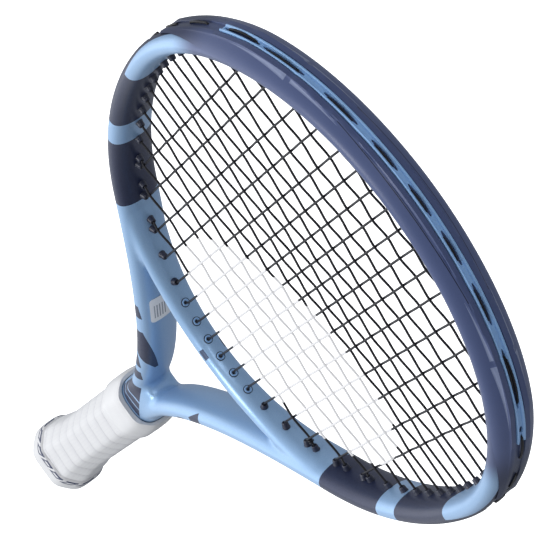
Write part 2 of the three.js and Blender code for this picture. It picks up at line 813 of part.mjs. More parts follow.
function pallet(side) {
  const { palletStart, palletEnd, capEnd, shaftHalfWidth, shaftHalfDepth } = HANDLE;
  const w = PALLET.halfWidth;
  const h = PALLET.halfHeight;
  const relief = PALLET.capRelief;
  const outside = octagonLoft([
    [palletStart, w - relief, h - relief],
    [capEnd + GAP, w - relief, h - relief],
    [capEnd + GAP + 0.4, w, h],
    [palletEnd, w, h],
  ]);
  const cavityW = shaftHalfWidth + GAP;
  const cavityH = shaftHalfDepth + GAP;
  const cavity = loft(
    [palletStart - 1, palletEnd + 1].map((y) => ({
      outline: octagon(cavityW, cavityH, 0.75, 0.64),
      place: crossSection(y),
    })),
  );
  const wide = 2 * w;
  const half = side > 0
    ? bar(-wide, wide, 0, palletEnd + 5, GAP / 2, wide)
    : bar(-wide, wide, 0, palletEnd + 5, -wide, -GAP / 2);
  return outside.subtract(cavity).intersect(half).subtract(stapleSpace(side, GAP));
}

// A U of flat wire: a crown over the cap and two legs into the pallet.
function stapleSpace(side, grow) {
  const { halfWidth, y, wire, leg } = STAPLE;
  const top = stapleCrown();
  const [from, to] = [y - wire - grow, y + wire + grow];
  const crown = bar(-halfWidth - grow, halfWidth + grow, from, to, top - wire, top);
  const low = PALLET.halfHeight - PALLET.capRelief - leg - grow;
  const reach = wire / 2 + grow;
  const legAt = (x) => bar(x - reach, x + reach, from, to, low, top - wire / 2);
  const staple = joined([crown, legAt(-halfWidth + wire), legAt(halfWidth - wire)]);
  return side > 0 ? staple : staple.mirror([0, 0, 1]);
}

// The crown lies flush in the cap's skirt, under the grip.
function stapleCrown() {
  return flareAt(STAPLE.y)[1] - GRIP.thickness - UNDERLAY.offset;
}

function buttCap() {
  const { capEnd } = HANDLE;
  const exposed = flareRows(0, GRIP.start - GAP, 0);
  const shoulder = [GRIP.start - GAP + 0.1, capEnd];
  const [endW, endH] = [PALLET.halfWidth - 0.1, PALLET.halfHeight - 0.1];
  const under = flareRows(shoulder[0], 58, GRIP.thickness + UNDERLAY.offset);
  const outside = octagonLoft([...exposed, ...under, [capEnd, endW, endH]]);
  const w = PALLET.halfWidth - PALLET.capRelief + GAP;
  const h = PALLET.halfHeight - PALLET.capRelief + GAP;
  const hollow = octagonLoft([
    [CAP_WALL, w, h],
    [capEnd + 1, w, h],
  ]);
  const doorway = roundedBar(DOOR.plugHalfWidth + GAP, DOOR.plugHalfHeight + GAP, -1, CAP_WALL + 1);
  const seat = roundedBar(DOOR.halfWidth + GAP, DOOR.halfHeight + GAP, -1, DOOR.flange + GAP);
  const staples = joined([stapleSpace(1, GAP), stapleSpace(-1, GAP)]);
  return outside.subtract(joined([hollow, doorway, seat, staples, tackSpace(GAP)]));
}

// A bar along Y with an oval of flats as its section.
function roundedBar(halfWidth, halfHeight, from, to) {
  const outline = spread(15, 345, 11).map((angle) => superellipse(halfWidth, halfHeight, 3, angle));
  return loft([from, to].map((y) => ({ outline, place: crossSection(y) })));
}

function trapDoor() {
  const lid = roundedBar(DOOR.halfWidth, DOOR.halfHeight, 0, DOOR.flange);
  const plug = roundedBar(DOOR.plugHalfWidth, DOOR.plugHalfHeight, DOOR.flange / 2, DOOR.plug);
  const cavity = [DOOR.plugHalfWidth - DOOR.wall, DOOR.plugHalfHeight - DOOR.wall];
  const inside = roundedBar(...cavity, DOOR.flange + DOOR.wall / 2, DOOR.plug + 1);
  return joined([lid, plug]).subtract(inside);
}

function tackSpace(grow) {
  const top = flareAt(TACK.y)[1] - GRIP.thickness - UNDERLAY.offset;
  const square = (half, low, high) => bar(-half, half, TACK.y - half, TACK.y + half, low, high);
  const head = square(TACK.head + grow, top - TACK.headDepth, top);
  const pin = square(TACK.pin + grow, top - TACK.length - grow, top - TACK.headDepth / 2);
  return joined([head, pin]);
}

function gripUnderlay() {
  const { capEnd } = HANDLE;
  const from = capEnd + GAP;
  const innerW = PALLET.halfWidth + UNDERLAY.offset;
  const innerH = PALLET.halfHeight + UNDERLAY.offset;
  const rows = (grow) => [
    [from, innerW + grow, innerH + grow],
    [GRIP.end, innerW + grow, innerH + grow],
  ];
  const inside = [[from - 1, innerW, innerH], [GRIP.end + 1, innerW, innerH]];
  return octagonLoft(rows(UNDERLAY.thickness)).subtract(octagonLoft(inside));
}

// The grip is a spiral of leather-like strip; here it is the closed sleeve that the spiral makes.
function gripWrap() {
  const inset = GRIP.thickness;
  const inner = flareRows(GRIP.start, GRIP.straightFrom, inset);
  const outer = flareRows(GRIP.start, GRIP.straightFrom, 0);
  const thinWidth = GRIP.halfWidth - TAPERED.inset;
  const thinHeight = GRIP.halfHeight - TAPERED.inset;
  const outside = octagonLoft([
    ...outer,
    [TAPERED.from, GRIP.halfWidth, GRIP.halfHeight],
    [TAPERED.from + TAPERED.length, thinWidth, thinHeight],
    [GRIP.end, thinWidth, thinHeight],
  ]);
  inner[0][0] -= 1;
  const inside = octagonLoft([...inner, [GRIP.end + 1, GRIP.halfWidth - inset, GRIP.halfHeight - inset]]);
  return outside.subtract(inside);
}

function sleeve(rowsOutside, rowsInside) {
  return octagonLoft(rowsOutside).subtract(octagonLoft(rowsInside));
}

function finishingTape() {
  const { length, thickness, offset } = FINISHING_TAPE;
  const w = GRIP.halfWidth - TAPERED.inset + offset;
  const h = GRIP.halfHeight - TAPERED.inset + offset;
  const from = GRIP.end - length;
  return sleeve(
    [[from, w + thickness, h + thickness], [GRIP.end, w + thickness, h + thickness]],
    [[from - 1, w, h], [GRIP.end + 1, w, h]],
  );
}

function rubberCollar() {
  const clear = GRIP.halfWidth + COLLAR.clearance;
  const clearH = GRIP.halfHeight + COLLAR.clearance;
  const neckW = HANDLE.neckHalfWidth + COLLAR.neckGap;
  const neckH = DEPTH.shaft + COLLAR.neckGap;
  return sleeve(
    [
      [COLLAR.start, clear + 0.7, clearH + 0.7],
      [COLLAR.start + 12, clear + 1.2, clearH + 1.2],
      [COLLAR.end - 8, clear + 0.9, clearH + 0.8],
      [COLLAR.end, clear - 0.6, clearH - 0.8],
    ],
    [
      [COLLAR.start - 1, clear, clearH],
      [GRIP.end + 1, clear, clearH],
      [GRIP.end + 7, neckW, neckH],
      [COLLAR.end + 1, neckW, neckH],
    ],
  );
}

// ---------------------------------------------------------------- label
// A small sticker on the inner face of the left arm, wrapped up towards its top.
function inspectionLabel() {
  const half = BEAM.width / 2;
  const skin = (grow, t) => spread(145, 210, 4).map((angle) =>
    superellipse(half + grow, lerp(DEPTH.side, DEPTH.arm, t) + grow, BEAM.power, angle),
  );
  const rings = spread(LABEL.from, LABEL.to, 2).map((t) => ({
    outline: [...skin(LABEL.lift, t), ...skin(LABEL.lift + LABEL.thickness, t).reverse()],
    place: armPlace(t, -1),
  }));
  return loft(rings);
}

// ---------------------------------------------------------------- the racket
const racket = new THREE.Group();
racket.name = 'tennis_racket';

function add(name, solid, color, roughness, metalness) {
  const material = new THREE.MeshStandardMaterial({ color, roughness, metalness, flatShading: true });
  const mesh = new THREE.Mesh(geometryOf(solid), material);
  mesh.name = name;
  racket.add(mesh);
}

add('frame_hairpin', frameHairpin(), COLOURS.lightBlue, 0.35, 0.4);
add('throat_bridge', throatBridge(), COLOURS.lightBlue, 0.35, 0.4);
add('bumper_guard', bumperGuard(), COLOURS.slate, 0.5, 0);
add('channel_insert', channelInsert(), COLOURS.lightBlue, 0.5, 0);
add('side_grommets_left', sideGrommets(-1), COLOURS.navy, 0.5, 0);
add('side_grommets_right', sideGrommets(1), COLOURS.navy, 0.5, 0);
add('throat_grommets', throatGrommets(), COLOURS.lightBlue, 0.5, 0);
add('main_string', mainString(), COLOURS.black, 0.4, 0);
add('cross_string', crossString(), COLOURS.black, 0.4, 0);
add('pallet_top', pallet(1), COLOURS.foam, 0.9, 0);
add('pallet_bottom', pallet(-1), COLOURS.foam, 0.9, 0);
add('butt_cap', buttCap(), COLOURS.white, 0.55, 0);
add('trap_door', trapDoor(), COLOURS.white, 0.5, 0);
add('cap_staple_top', stapleSpace(1, 0), COLOURS.steel, 0.3, 1);
add('cap_staple_bottom', stapleSpace(-1, 0), COLOURS.steel, 0.3, 1);
add('grip_tack', tackSpace(0), COLOURS.steel, 0.3, 1);
add('grip_underlay', gripUnderlay(), COLOURS.white, 0.9, 0);
add('grip_wrap', gripWrap(), COLOURS.white, 0.8, 0);
add('finishing_tape', finishingTape(), COLOURS.white, 0.7, 0);
add('rubber_collar', rubberCollar(), COLOURS.white, 0.6, 0);
add('inspection_label', inspectionLabel(), COLOURS.white, 0.6, 0);

export default racket;
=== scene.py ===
import math

import bpy
import numpy as np
from mathutils import Matrix, Vector


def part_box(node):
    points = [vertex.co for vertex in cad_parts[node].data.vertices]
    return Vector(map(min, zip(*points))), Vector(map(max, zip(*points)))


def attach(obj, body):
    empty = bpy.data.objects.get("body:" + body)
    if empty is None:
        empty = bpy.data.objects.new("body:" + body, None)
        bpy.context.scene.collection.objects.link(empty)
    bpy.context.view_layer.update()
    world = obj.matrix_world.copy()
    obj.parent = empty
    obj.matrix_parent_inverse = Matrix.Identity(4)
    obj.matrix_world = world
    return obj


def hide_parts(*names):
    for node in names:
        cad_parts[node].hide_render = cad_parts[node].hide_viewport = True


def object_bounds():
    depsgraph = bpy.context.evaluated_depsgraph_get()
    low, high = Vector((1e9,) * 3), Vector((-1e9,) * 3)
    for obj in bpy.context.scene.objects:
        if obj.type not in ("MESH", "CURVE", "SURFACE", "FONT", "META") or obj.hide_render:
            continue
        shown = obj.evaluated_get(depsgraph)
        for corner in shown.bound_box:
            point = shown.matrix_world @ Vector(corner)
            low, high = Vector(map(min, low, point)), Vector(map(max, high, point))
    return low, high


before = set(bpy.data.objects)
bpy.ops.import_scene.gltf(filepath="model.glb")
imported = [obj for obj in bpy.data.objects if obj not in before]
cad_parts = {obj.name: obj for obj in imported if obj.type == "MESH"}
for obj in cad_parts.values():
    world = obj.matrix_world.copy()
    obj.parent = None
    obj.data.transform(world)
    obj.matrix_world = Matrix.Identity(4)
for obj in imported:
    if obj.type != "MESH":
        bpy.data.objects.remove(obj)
cad_low, cad_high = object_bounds()

# ------------------------------------------------------------------ dimensions, in CAD millimetres
CAD_LENGTH = 685.6
MM = (cad_high.y - cad_low.y) / CAD_LENGTH

HEAD_HALF_WIDTH = 120.0
HEAD_CENTRE_Y = 534.7
TIP_REACH = 137.1
THROAT_REACH = 184.3
BEAM_WIDTH = 12.2
TIP_BEAM_WIDTH = 10.6
BEAM_POWER = 2.3
DEPTH_TIP, DEPTH_SIDE, DEPTH_ARM, DEPTH_SHAFT = 10.9, 12.3, 12.0, 11.3
GROOVE_HALF_WIDTH, GROOVE_DEPTH = 4.0, 2.6
STRIP_HALF_WIDTH, STRIP_THICKNESS, GAP = 3.6, 1.1, 0.3
BRIDGE_WIDTH, BRIDGE_MID_DEPTH, BRIDGE_END_DEPTH, BRIDGE_TURN, BRIDGE_STRIP_TURN = 11.0, 6.9, 11.0, 36.0, 21.5
BRANCH_TURN = 43.3
BUMPER_TURN, INSERT_TURN = 102.5, 124.0
BUMPER_THICKNESS, CHANNEL_HALF_WIDTH = 3.1, 2.75
BUMPER_RINGS, SECTION_POINTS = 260, 48
STRING_RADIUS, STRING_BEND, STRING_LANE, BUMPER_LANE = 0.6, 2.8, 1.3, 0.7
MAIN_WAVE, CROSS_WAVE = 0.64, 0.52
MAIN_GAPS = [5.1, 10.3, 10.6, 11.4, 13.3, 13.1, 15.5, 15.3]
OUTER_MAIN_SPLAY = {"throat": 2.8, "tip": 1.7}
FLUSH_REACH = 30.0
LOOP_BOW = 1.05
SIDE_BARREL_STAND, BARREL_STAND = 2.9, 2.3
CROSS_START = 645.8
CROSS_GAPS = [16.8, 16.5, 15.3, 14.3, 13.5, 12.5, 12.9, 12.3, 11.7]
CROSS_GAPS += [11.5, 12.3, 12.7, 13.0, 13.7, 14.4, 15.8, 18.5, 21.1]
SHAFT_END_Y, NECK_Y, CROTCH_Y, NECK_HALF_WIDTH = 8.0, 215.0, 236.0, 13.8
PALLET_Y, COLLAR_MOUTH_Y, ARM_TOP_Y = 188.0, 198.0, 392.0

ROOT = "racket"


# ------------------------------------------------------------------ small maths
def mix(a, b, t):
    return a + (b - a) * t


def smoothstep(x, low, high):
    t = np.clip((x - low) / (high - low), 0.0, 1.0)
    return t * t * (3 - 2 * t)


def unit(v):
    return v / np.linalg.norm(v, axis=-1, keepdims=True)


def solve(f, low, high):
    rising = f(high) > f(low)
    for _ in range(50):
        middle = (low + high) / 2
        if (f(middle) > 0) == rising:
            high = middle
        else:
            low = middle
    return (low + high) / 2


# ------------------------------------------------------------------ meshes
def add_object(name, data):
    made = bpy.data.objects.new(name, data)
    bpy.context.scene.collection.objects.link(made)
    return made


def mesh_object(name, points, faces):
    mesh = bpy.data.meshes.new(name)
    mesh.from_pydata((np.asarray(points, float) * MM).tolist(), [], [list(map(int, f)) for f in faces])
    mesh.update()
    mesh.shade_smooth()
    return add_object(name, mesh)


def tube_faces(rings, count, ring_closed=False, start=0):
    """Quads between rings of points; ring_closed joins the last ring to the first."""
    faces = []
    for i in range(rings if ring_closed else rings - 1):
        a = start + i * count
        b = start + ((i + 1) % rings) * count
        for j in range(count):
            k = (j + 1) % count
            faces.append((a + j, a + k, b + k, b + j))
    if not ring_closed:
        faces.append(tuple(start + j for j in reversed(range(count))))
        faces.append(tuple(start + (rings - 1) * count + j for j in range(count)))
    return faces


class Builder:
    """Collects several closed tubes into one mesh."""

    def __init__(self):
        self.points = []
        self.faces = []

    def tube(self, rings):
        rings = np.asarray(rings, float)
        if loft_volume(rings) < 0:
            rings = rings[:, ::-1]
        self.faces += tube_faces(len(rings), rings.shape[1], start=len(self.points))
        self.points += rings.reshape(-1, 3).tolist()

    def build(self, name, crease=None):
        """The finished mesh; edges that turn by more than crease degrees are shaded sharp."""
        made = mesh_object(name, self.points, self.faces)
        if crease:
            sharp_by_angle(made, crease)
        return made


def loft_volume(rings):
    """Positive when the rings wind so that a tube's faces point outwards."""
    middle = len(rings) // 2
    low, high = rings[max(0, middle - 1)], rings[min(len(rings) - 1, middle + 1)]
    along = high.mean(0) - low.mean(0)
    ring = rings[middle] - rings[middle].mean(0)
    area = np.cross(ring, np.roll(ring, -1, axis=0)).sum(0)
    return float(area @ along)


def sharp_by_angle(made, degrees):
    with bpy.context.temp_override(object=made, active_object=made, selected_editable_objects=[made]):
        bpy.ops.object.shade_smooth_by_angle(angle=math.radians(degrees))


def apply_modifiers(made):
    depsgraph = bpy.context.evaluated_depsgraph_get()
    mesh = bpy.data.meshes.new_from_object(made.evaluated_get(depsgraph))
    made.modifiers.clear()
    made.data = mesh


def cut_away(made, cutter):
    modifier = made.modifiers.new("cut", "BOOLEAN")
    modifier.operation = "DIFFERENCE"
    modifier.object = cutter
    modifier.solver = "EXACT"
    apply_modifiers(made)
    bpy.data.objects.remove(cutter)


def full_circle(count):
    return np.linspace(0, 2 * np.pi, count + 1)[:-1]


def circle(centre, along, radius, angles):
    """Points round an axis that runs along a direction in or near the string bed."""
    sideways = unit(np.cross(along, [0, 0, 1.0]))
    raised = np.cross(sideways, along)
    return centre + radius * (np.cos(angles)[:, None] * sideways + np.sin(angles)[:, None] * raised)


# ------------------------------------------------------------------ the head's curve and the arms
def inner_edge(turn):
    """Point on the hoop's inner face and its outward normal; turn is 0 at the throat and 180 at the tip."""
    a = np.radians(turn)
    reach = np.where(np.cos(a) > 0, THROAT_REACH, TIP_REACH)
    edge = np.stack([HEAD_HALF_WIDTH * np.sin(a), HEAD_CENTRE_Y - reach * np.cos(a)], -1)
    normal = np.stack([reach * np.sin(a), -HEAD_HALF_WIDTH * np.cos(a)], -1)
    return edge, unit(normal)


def from_throat(turn):
    return 180 - np.abs(180 - turn)


def tipness(turn):
    return smoothstep(from_throat(turn), 98, 130)


def beam_width(turn):
    return mix(BEAM_WIDTH, TIP_BEAM_WIDTH, tipness(turn))


def groove_floor(turn):
    return beam_width(turn) - GROOVE_DEPTH * (1 - tipness(turn))


def hoop_depth(turn):
    return mix(DEPTH_TIP, DEPTH_SIDE, smoothstep(np.abs(180 - turn), 10, 90))


def beam_line(turns):
    """The middle of the hoop's beam and its outward normal at each turn."""
    edge, normal = inner_edge(turns)
    return edge + normal * (beam_width(turns) / 2)[:, None], normal


branch_edge, branch_normal = inner_edge(BRANCH_TURN)
branch_start = branch_edge + branch_normal * BEAM_WIDTH / 2
branch_tangent = np.array([branch_normal[1], -branch_normal[0]])
ARM_CONTROLS = np.array([branch_start, branch_start + 75 * branch_tangent, [7.5, 272.0], [6.8, 212.0]])


def arm_point(t):
    t = np.asarray(t, float)[..., None]
    weights = np.concatenate([(1 - t) ** 3, 3 * t * (1 - t) ** 2, 3 * t**2 * (1 - t), t**3], -1)
    return weights @ ARM_CONTROLS


def arm_tangent(t):
    t = np.asarray(t, float)[..., None]
    steps = np.diff(ARM_CONTROLS, axis=0)
    return unit(np.concatenate([(1 - t) ** 2, 2 * t * (1 - t), t**2], -1) @ steps)


def arm_normal(t):
    tangent = arm_tangent(t)
    return np.stack([-tangent[..., 1], tangent[..., 0]], -1)


def place(centre, normal, u, z, side=1.0):
    """3-D points from a plan centre and normal, an outward distance u and a height z."""
    x = side * (centre[..., 0] + normal[..., 0] * u)
    y = centre[..., 1] + normal[..., 1] * u
    return np.stack([x, y, np.broadcast_to(z, x.shape)], -1)


def on_hoop(turn, u, z):
    edge, normal = inner_edge(np.asarray(turn, float))
    return place(edge, normal, u, z)


def superellipse(half_width, half_depth, power, degrees):
    a = np.radians(degrees)
    c, s = np.cos(a), np.sin(a)
    u = half_width * np.sign(c) * np.abs(c) ** (2 / power)
    z = half_depth * np.sign(s) * np.abs(s) ** (2 / power)
    return u, z



SECTION_ANGLES = np.degrees(full_circle(SECTION_POINTS))


def beam_section(half_width, half_depth, groove):
    """The beam's outline about its centre line, with a soft groove in the outer face."""
    u, z = superellipse(half_width, half_depth, BEAM_POWER, SECTION_ANGLES)
    sunk = groove * smoothstep(np.abs(z), GROOVE_HALF_WIDTH + 0.5, GROOVE_HALF_WIDTH - 0.5)
    return np.where(u > 0, u - sunk, u), z


# ------------------------------------------------------------------ string holes
class Hole:
    """A string hole, from the bend just inside the hoop to the lane that the string follows outside."""

    def __init__(self, origin, normal, surface, rail, turn, side, lane, owner):
        self.origin, self.normal, self.surface, self.rail = origin, normal, float(surface), float(rail)
        self.turn, self.side, self.lane, self.owner = float(turn), side, lane, owner
        self.outside = self.surface + LANE_RISE

    def at(self, u):
        rise = self.lane * (u + STRING_BEND) / (self.outside + STRING_BEND)
        return place(self.origin, self.normal, u, rise, self.side)

    def full_turn(self):
        return self.rail if self.side > 0 else 360 - self.rail


LANE_RISE = GAP + STRIP_THICKNESS + STRING_RADIUS
ARM_RAIL = 60.0


def hoop_hole(turn):
    edge, normal = inner_edge(turn)
    return edge, normal, groove_floor(turn), turn


def arm_hole(turn):
    edge, _ = inner_edge(turn)
    t = solve(lambda s: float((arm_point(s) - edge) @ arm_tangent(s)), 0, 0.6)
    normal = arm_normal(t)
    surface = (arm_point(t) - edge) @ normal + BEAM_WIDTH / 2 - GROOVE_DEPTH
    return edge, normal, surface, BRANCH_TURN - t * ARM_RAIL


def bridge_hole(turn):
    edge, normal = inner_edge(turn)
    return edge, normal, BRIDGE_WIDTH, turn


def throat_hole(turn):
    if turn > BRANCH_TURN:
        return hoop_hole(turn)
    return bridge_hole(turn) if turn < BRIDGE_STRIP_TURN else arm_hole(turn)


def lane_of(owner):
    return BUMPER_LANE if owner == "bumper" else STRING_LANE


def bend_point(found):
    return found[0] - STRING_BEND * found[1]


def main_hole(x, side, end):
    kind = hoop_hole if end == "tip" else throat_hole
    low, high = (90, 180) if end == "tip" else (0, 75)
    turn = solve(lambda a: float(bend_point(kind(a))[0]) - x, low, high)
    owner = "bumper" if end == "tip" else "side"
    if end == "throat" and turn < BRIDGE_STRIP_TURN:
        owner = "throat" if x < FLUSH_REACH else "throat_side"
    return Hole(*kind(turn), turn, side, lane_of(owner), owner)


def cross_hole(y, side):
    def kind(turn):
        return arm_hole(turn) if turn < BRANCH_TURN else hoop_hole(turn)

    turn = solve(lambda a: float(bend_point(kind(a))[1]) - y, 25, 178)
    owner = "bumper" if turn > BUMPER_TURN else "side"
    return Hole(*kind(turn), turn, side, -lane_of(owner), owner)


def make_mains():
    offsets = np.cumsum(MAIN_GAPS)
    mains = []
    for x in [*-offsets[::-1], *offsets]:
        side = math.copysign(1.0, x)
        outermost = abs(abs(x) - offsets[-1]) < 1e-6
        ends = {}
        for end in ("throat", "tip"):
            splay = OUTER_MAIN_SPLAY[end] if outermost else 0.0
            ends[end] = main_hole(abs(x) - splay, side, end)
        low, high = ends["throat"].at(-STRING_BEND), ends["tip"].at(-STRING_BEND)
        mains.append({**ends, "x": x, "low": low, "high": high})
    return mains


def make_crosses():
    ys = CROSS_START - np.concatenate([[0], np.cumsum(CROSS_GAPS)])
    return [{"y": y, "left": cross_hole(y, -1.0), "right": cross_hole(y, 1.0)} for y in ys]


mains = make_mains()
crosses = make_crosses()
holes = [m[end] for m in mains for end in ("throat", "tip")]
holes += [c[end] for c in crosses for end in ("left", "right")]


def main_x_at(main, y):
    low, high = main["low"], main["high"]
    return mix(low[0], high[0], (y - low[1]) / (high[1] - low[1]))


def meets(main, cross):
    if not main["low"][1] < cross["y"] < main["high"][1]:
        return False
    return abs(main_x_at(main, cross["y"])) < cross["right"].at(-STRING_BEND)[0]


# ------------------------------------------------------------------ painted frame
def hairpin_rings():
    rings = []
    for t in np.linspace(1, 0, 64):
        groove = GROOVE_DEPTH * (1 - smoothstep(t, 0.42, 0.52))
        depth = mix(DEPTH_SIDE, DEPTH_ARM, t) - 0.65 * smoothstep(t, 0.88, 1.0)
        u, z = beam_section(BEAM_WIDTH / 2, depth, groove)
        rings.append(place(arm_point(t), arm_normal(t), u, z))
    hoop = []
    for turn in np.linspace(BRANCH_TURN, 360 - BRANCH_TURN, 340)[1:-1]:
        half = beam_width(turn) / 2
        u, z = beam_section(half, hoop_depth(turn), beam_width(turn) - groove_floor(turn))
        hoop.append(on_hoop(turn, u + half, z))
    left = [ring * [-1, 1, 1] for ring in rings[::-1]]
    return [*rings, *hoop, *left]


def bridge_rings():
    rings = []
    for turn in np.linspace(-BRIDGE_TURN - 3, BRIDGE_TURN + 3, 90):
        share = min(1.0, abs(turn) / BRIDGE_TURN)
        depth = mix(BRIDGE_MID_DEPTH, BRIDGE_END_DEPTH, share**2)
        u, z = superellipse(BRIDGE_WIDTH / 2, depth, 2.2, SECTION_ANGLES)
        rings.append(on_hoop(turn, u + BRIDGE_WIDTH / 2, z))
    return rings


def shaft_rings():
    rows = [
        (SHAFT_END_Y, 12.4, 10.6),
        (PALLET_Y, 12.4, 10.6),
        (COLLAR_MOUTH_Y, NECK_HALF_WIDTH + 0.2, DEPTH_SHAFT + 0.45),
        (NECK_Y, NECK_HALF_WIDTH + 0.2, DEPTH_SHAFT + 0.45),
        (NECK_Y + 8, NECK_HALF_WIDTH - 1.0, DEPTH_SHAFT + 0.1),
        (CROTCH_Y - 6, NECK_HALF_WIDTH * 0.72, DEPTH_SHAFT * 0.97),
        (CROTCH_Y, NECK_HALF_WIDTH * 0.5, DEPTH_SHAFT * 0.9),
        (CROTCH_Y + 4, NECK_HALF_WIDTH * 0.3, DEPTH_SHAFT * 0.72),
    ]
    rings = []
    for y, width, depth in rows:
        x, z = superellipse(width, depth, 2.8, SECTION_ANGLES)
        rings.append(np.stack([x, np.full_like(x, y), z], -1))
    return rings


def nearest(points, curve):
    """For each point, the index of the nearest point of a curve and the squared distance to it."""
    index, squared = [], []
    for part in np.array_split(points, max(1, len(points) // 3000)):
        gaps = ((part[:, None] - curve[None]) ** 2).sum(-1)
        index.append(gaps.argmin(1))
        squared.append(gaps.min(1))
    return np.concatenate(index), np.concatenate(squared)


def dot(a, b):
    return (a * b).sum(-1)


def frame_coordinates(points):
    """Each point's turn on the head's curve, angle round the beam, and place on an arm (-1 off the arms)."""
    turns, ts = np.arange(0, 360, 0.5), np.linspace(0, 1, 240)
    middle, normal = beam_line(turns)
    arm = arm_point(ts)
    plan = points[:, :2]
    folded = np.stack([np.abs(plan[:, 0]), plan[:, 1]], -1)
    i, hoop_gap = nearest(plan, middle)
    j, arm_gap = nearest(folded, arm)
    from_middle, from_arm = plan - middle[i], folded - arm[j]
    tangent = np.stack([normal[i, 1], -normal[i, 0]], -1)
    spacing = np.linalg.norm(middle[(i + 1) % len(turns)] - middle[i], axis=-1)
    turn = turns[i] - turns[1] * dot(from_middle, tangent) / spacing
    arm_spacing = np.linalg.norm(arm[np.minimum(j + 1, len(ts) - 1)] - arm[np.maximum(j - 1, 0)], axis=-1) / 2
    t = ts[j] + dot(from_arm, arm_tangent(ts[j])) / np.maximum(arm_spacing, 1e-3) * ts[1]
    on_arm = (arm_gap < hoop_gap) & (folded[:, 1] < ARM_TOP_Y)
    u = np.where(on_arm, dot(from_arm, arm_normal(ts[j])), dot(from_middle, normal[i]))
    around = np.degrees(np.arctan2(np.abs(points[:, 2]), u))
    return from_throat(turn % 360), around, np.where(on_arm, t, -1.0)


def add_attribute(made, name, values):
    attribute = made.data.attributes.new(name, "FLOAT", "POINT")
    attribute.data.foreach_set("value", np.asarray(values, np.float32))


def mesh_points(made):
    points = np.empty(len(made.data.vertices) * 3, np.float32)
    made.data.vertices.foreach_get("co", points)
    return points.reshape(-1, 3).astype(float) / MM


def soften(made, factor, repeats, weights=None):
    modifier = made.modifiers.new("soften", "SMOOTH")
    modifier.factor = factor
    modifier.iterations = repeats
    if weights is not None:
        group = made.vertex_groups.new(name="soften")
        levels = np.round(weights * 10).astype(int)
        for level in range(1, 11):
            group.add(np.nonzero(levels == level)[0].tolist(), level / 10, "REPLACE")
        modifier.vertex_group = "soften"
    apply_modifiers(made)
    made.vertex_groups.clear()


def settle_on_beam(made):
    """Moves the hoop's remeshed skin back onto the beam's outline, away from the groove and the joints."""
    points = mesh_points(made)
    turns = np.arange(0, 360, 0.25)
    middle, normal = beam_line(turns)
    lowest = HEAD_CENTRE_Y - THROAT_REACH * math.cos(math.radians(BRANCH_TURN + 3))
    hoop = np.nonzero(points[:, 1] > lowest)[0]
    i, _ = nearest(points[hoop, :2], middle)
    u = dot(points[hoop, :2] - middle[i], normal[i])
    turn = from_throat(turns[i])
    half, depth = beam_width(turn) / 2, hoop_depth(turns[i])
    c, s = u / half, points[hoop, 2] / depth
    reach = (np.abs(c) ** BEAM_POWER + np.abs(s) ** BEAM_POWER) ** (-1 / BEAM_POWER)
    share = smoothstep(u, half * 0.55, half * 0.2) * smoothstep(turn, BRANCH_TURN + 4, BRANCH_TURN + 12)
    points[hoop, :2] += normal[i] * (mix(u, u * reach, share) - u)[:, None]
    points[hoop, 2] *= mix(1.0, reach, share)
    made.data.vertices.foreach_set("co", (points * MM).astype(np.float32).ravel())
    made.data.update()


def painted_frame():
    build = Builder()
    for rings in (hairpin_rings(), bridge_rings(), shaft_rings()):
        build.tube(rings)
    made = build.build("painted_frame")
    remesh = made.modifiers.new("union", "REMESH")
    remesh.mode = "VOXEL"
    remesh.voxel_size = 1.0 * MM
    remesh.use_smooth_shade = True
    apply_modifiers(made)
    soften(made, 0.5, 9)
    points = mesh_points(made)
    crotch = np.exp(-(((points[:, 1] - CROTCH_Y - 2) / 13) ** 2)) * (np.abs(points[:, 0]) < 24)
    soften(made, 0.5, 50, crotch)
    settle_on_beam(made)
    for name, values in zip(("turn", "around", "arm"), frame_coordinates(mesh_points(made))):
        add_attribute(made, name, values)
    made.data.shade_smooth()
    return made


# ------------------------------------------------------------------ bumper, insert and grommets
WEDGE_B_TOP, WEDGE_HEIGHT, SEAM_DEPTH = 44.5, 0.55, 0.4


def bumper_reach(turn):
    """Angle round the beam, on the parameter of its outline, at which the bumper's cheek ends."""
    return mix(30.0, 78.0, smoothstep(from_throat(turn), BUMPER_TURN, 131))


def bumper_fullness(turn):
    return smoothstep(from_throat(turn), 106, 134)


def bumper_thickness(turn):
    return mix(0.35, BUMPER_THICKNESS, bumper_fullness(turn))


def positive(number):
    return number.at_least(0.0) if isinstance(number, Value) else max(0.0, number)


def bumper_lines(away):
    """Angles round the beam of the bumper's seam and of the edges of its two wedges, at an angle away from
    the tip. It works on numbers, for the shape, and on values in a material."""
    seam = 44.0 - away * away * 0.02
    low_a = (away - 34.7) * 0.424 + 32.0
    high_a = (positive(51.2 - away) / 18.2) ** 1.5 * 11.0 + 39.0
    low_b = (away - 20.0) * -0.77 + 44.0
    return seam, (low_a, high_a), (low_b, WEDGE_B_TOP)


def bumper_relief(turn, angle):
    """Height of the bumper's raised wedges and sunk seams, with the angle round the beam."""
    away = np.abs(180 - turn)
    seam_angle, edges_a, edges_b = bumper_lines(away)
    length_a = smoothstep(away, 34.2, 35.0) * smoothstep(away, 53, 51)
    length_b = smoothstep(away, 19, 21) * smoothstep(away, 33.2, 32.4)
    wedges = 0.0
    for length, (low, high) in ((length_a, edges_a), (length_b, edges_b)):
        wedges += length * smoothstep(angle, low - 1, low + 1) * smoothstep(angle, high + 1, high - 1)
    seam = np.exp(-(((angle - seam_angle) / 1.6) ** 2)) * smoothstep(away, 21, 19)
    return WEDGE_HEIGHT * wedges - SEAM_DEPTH * seam


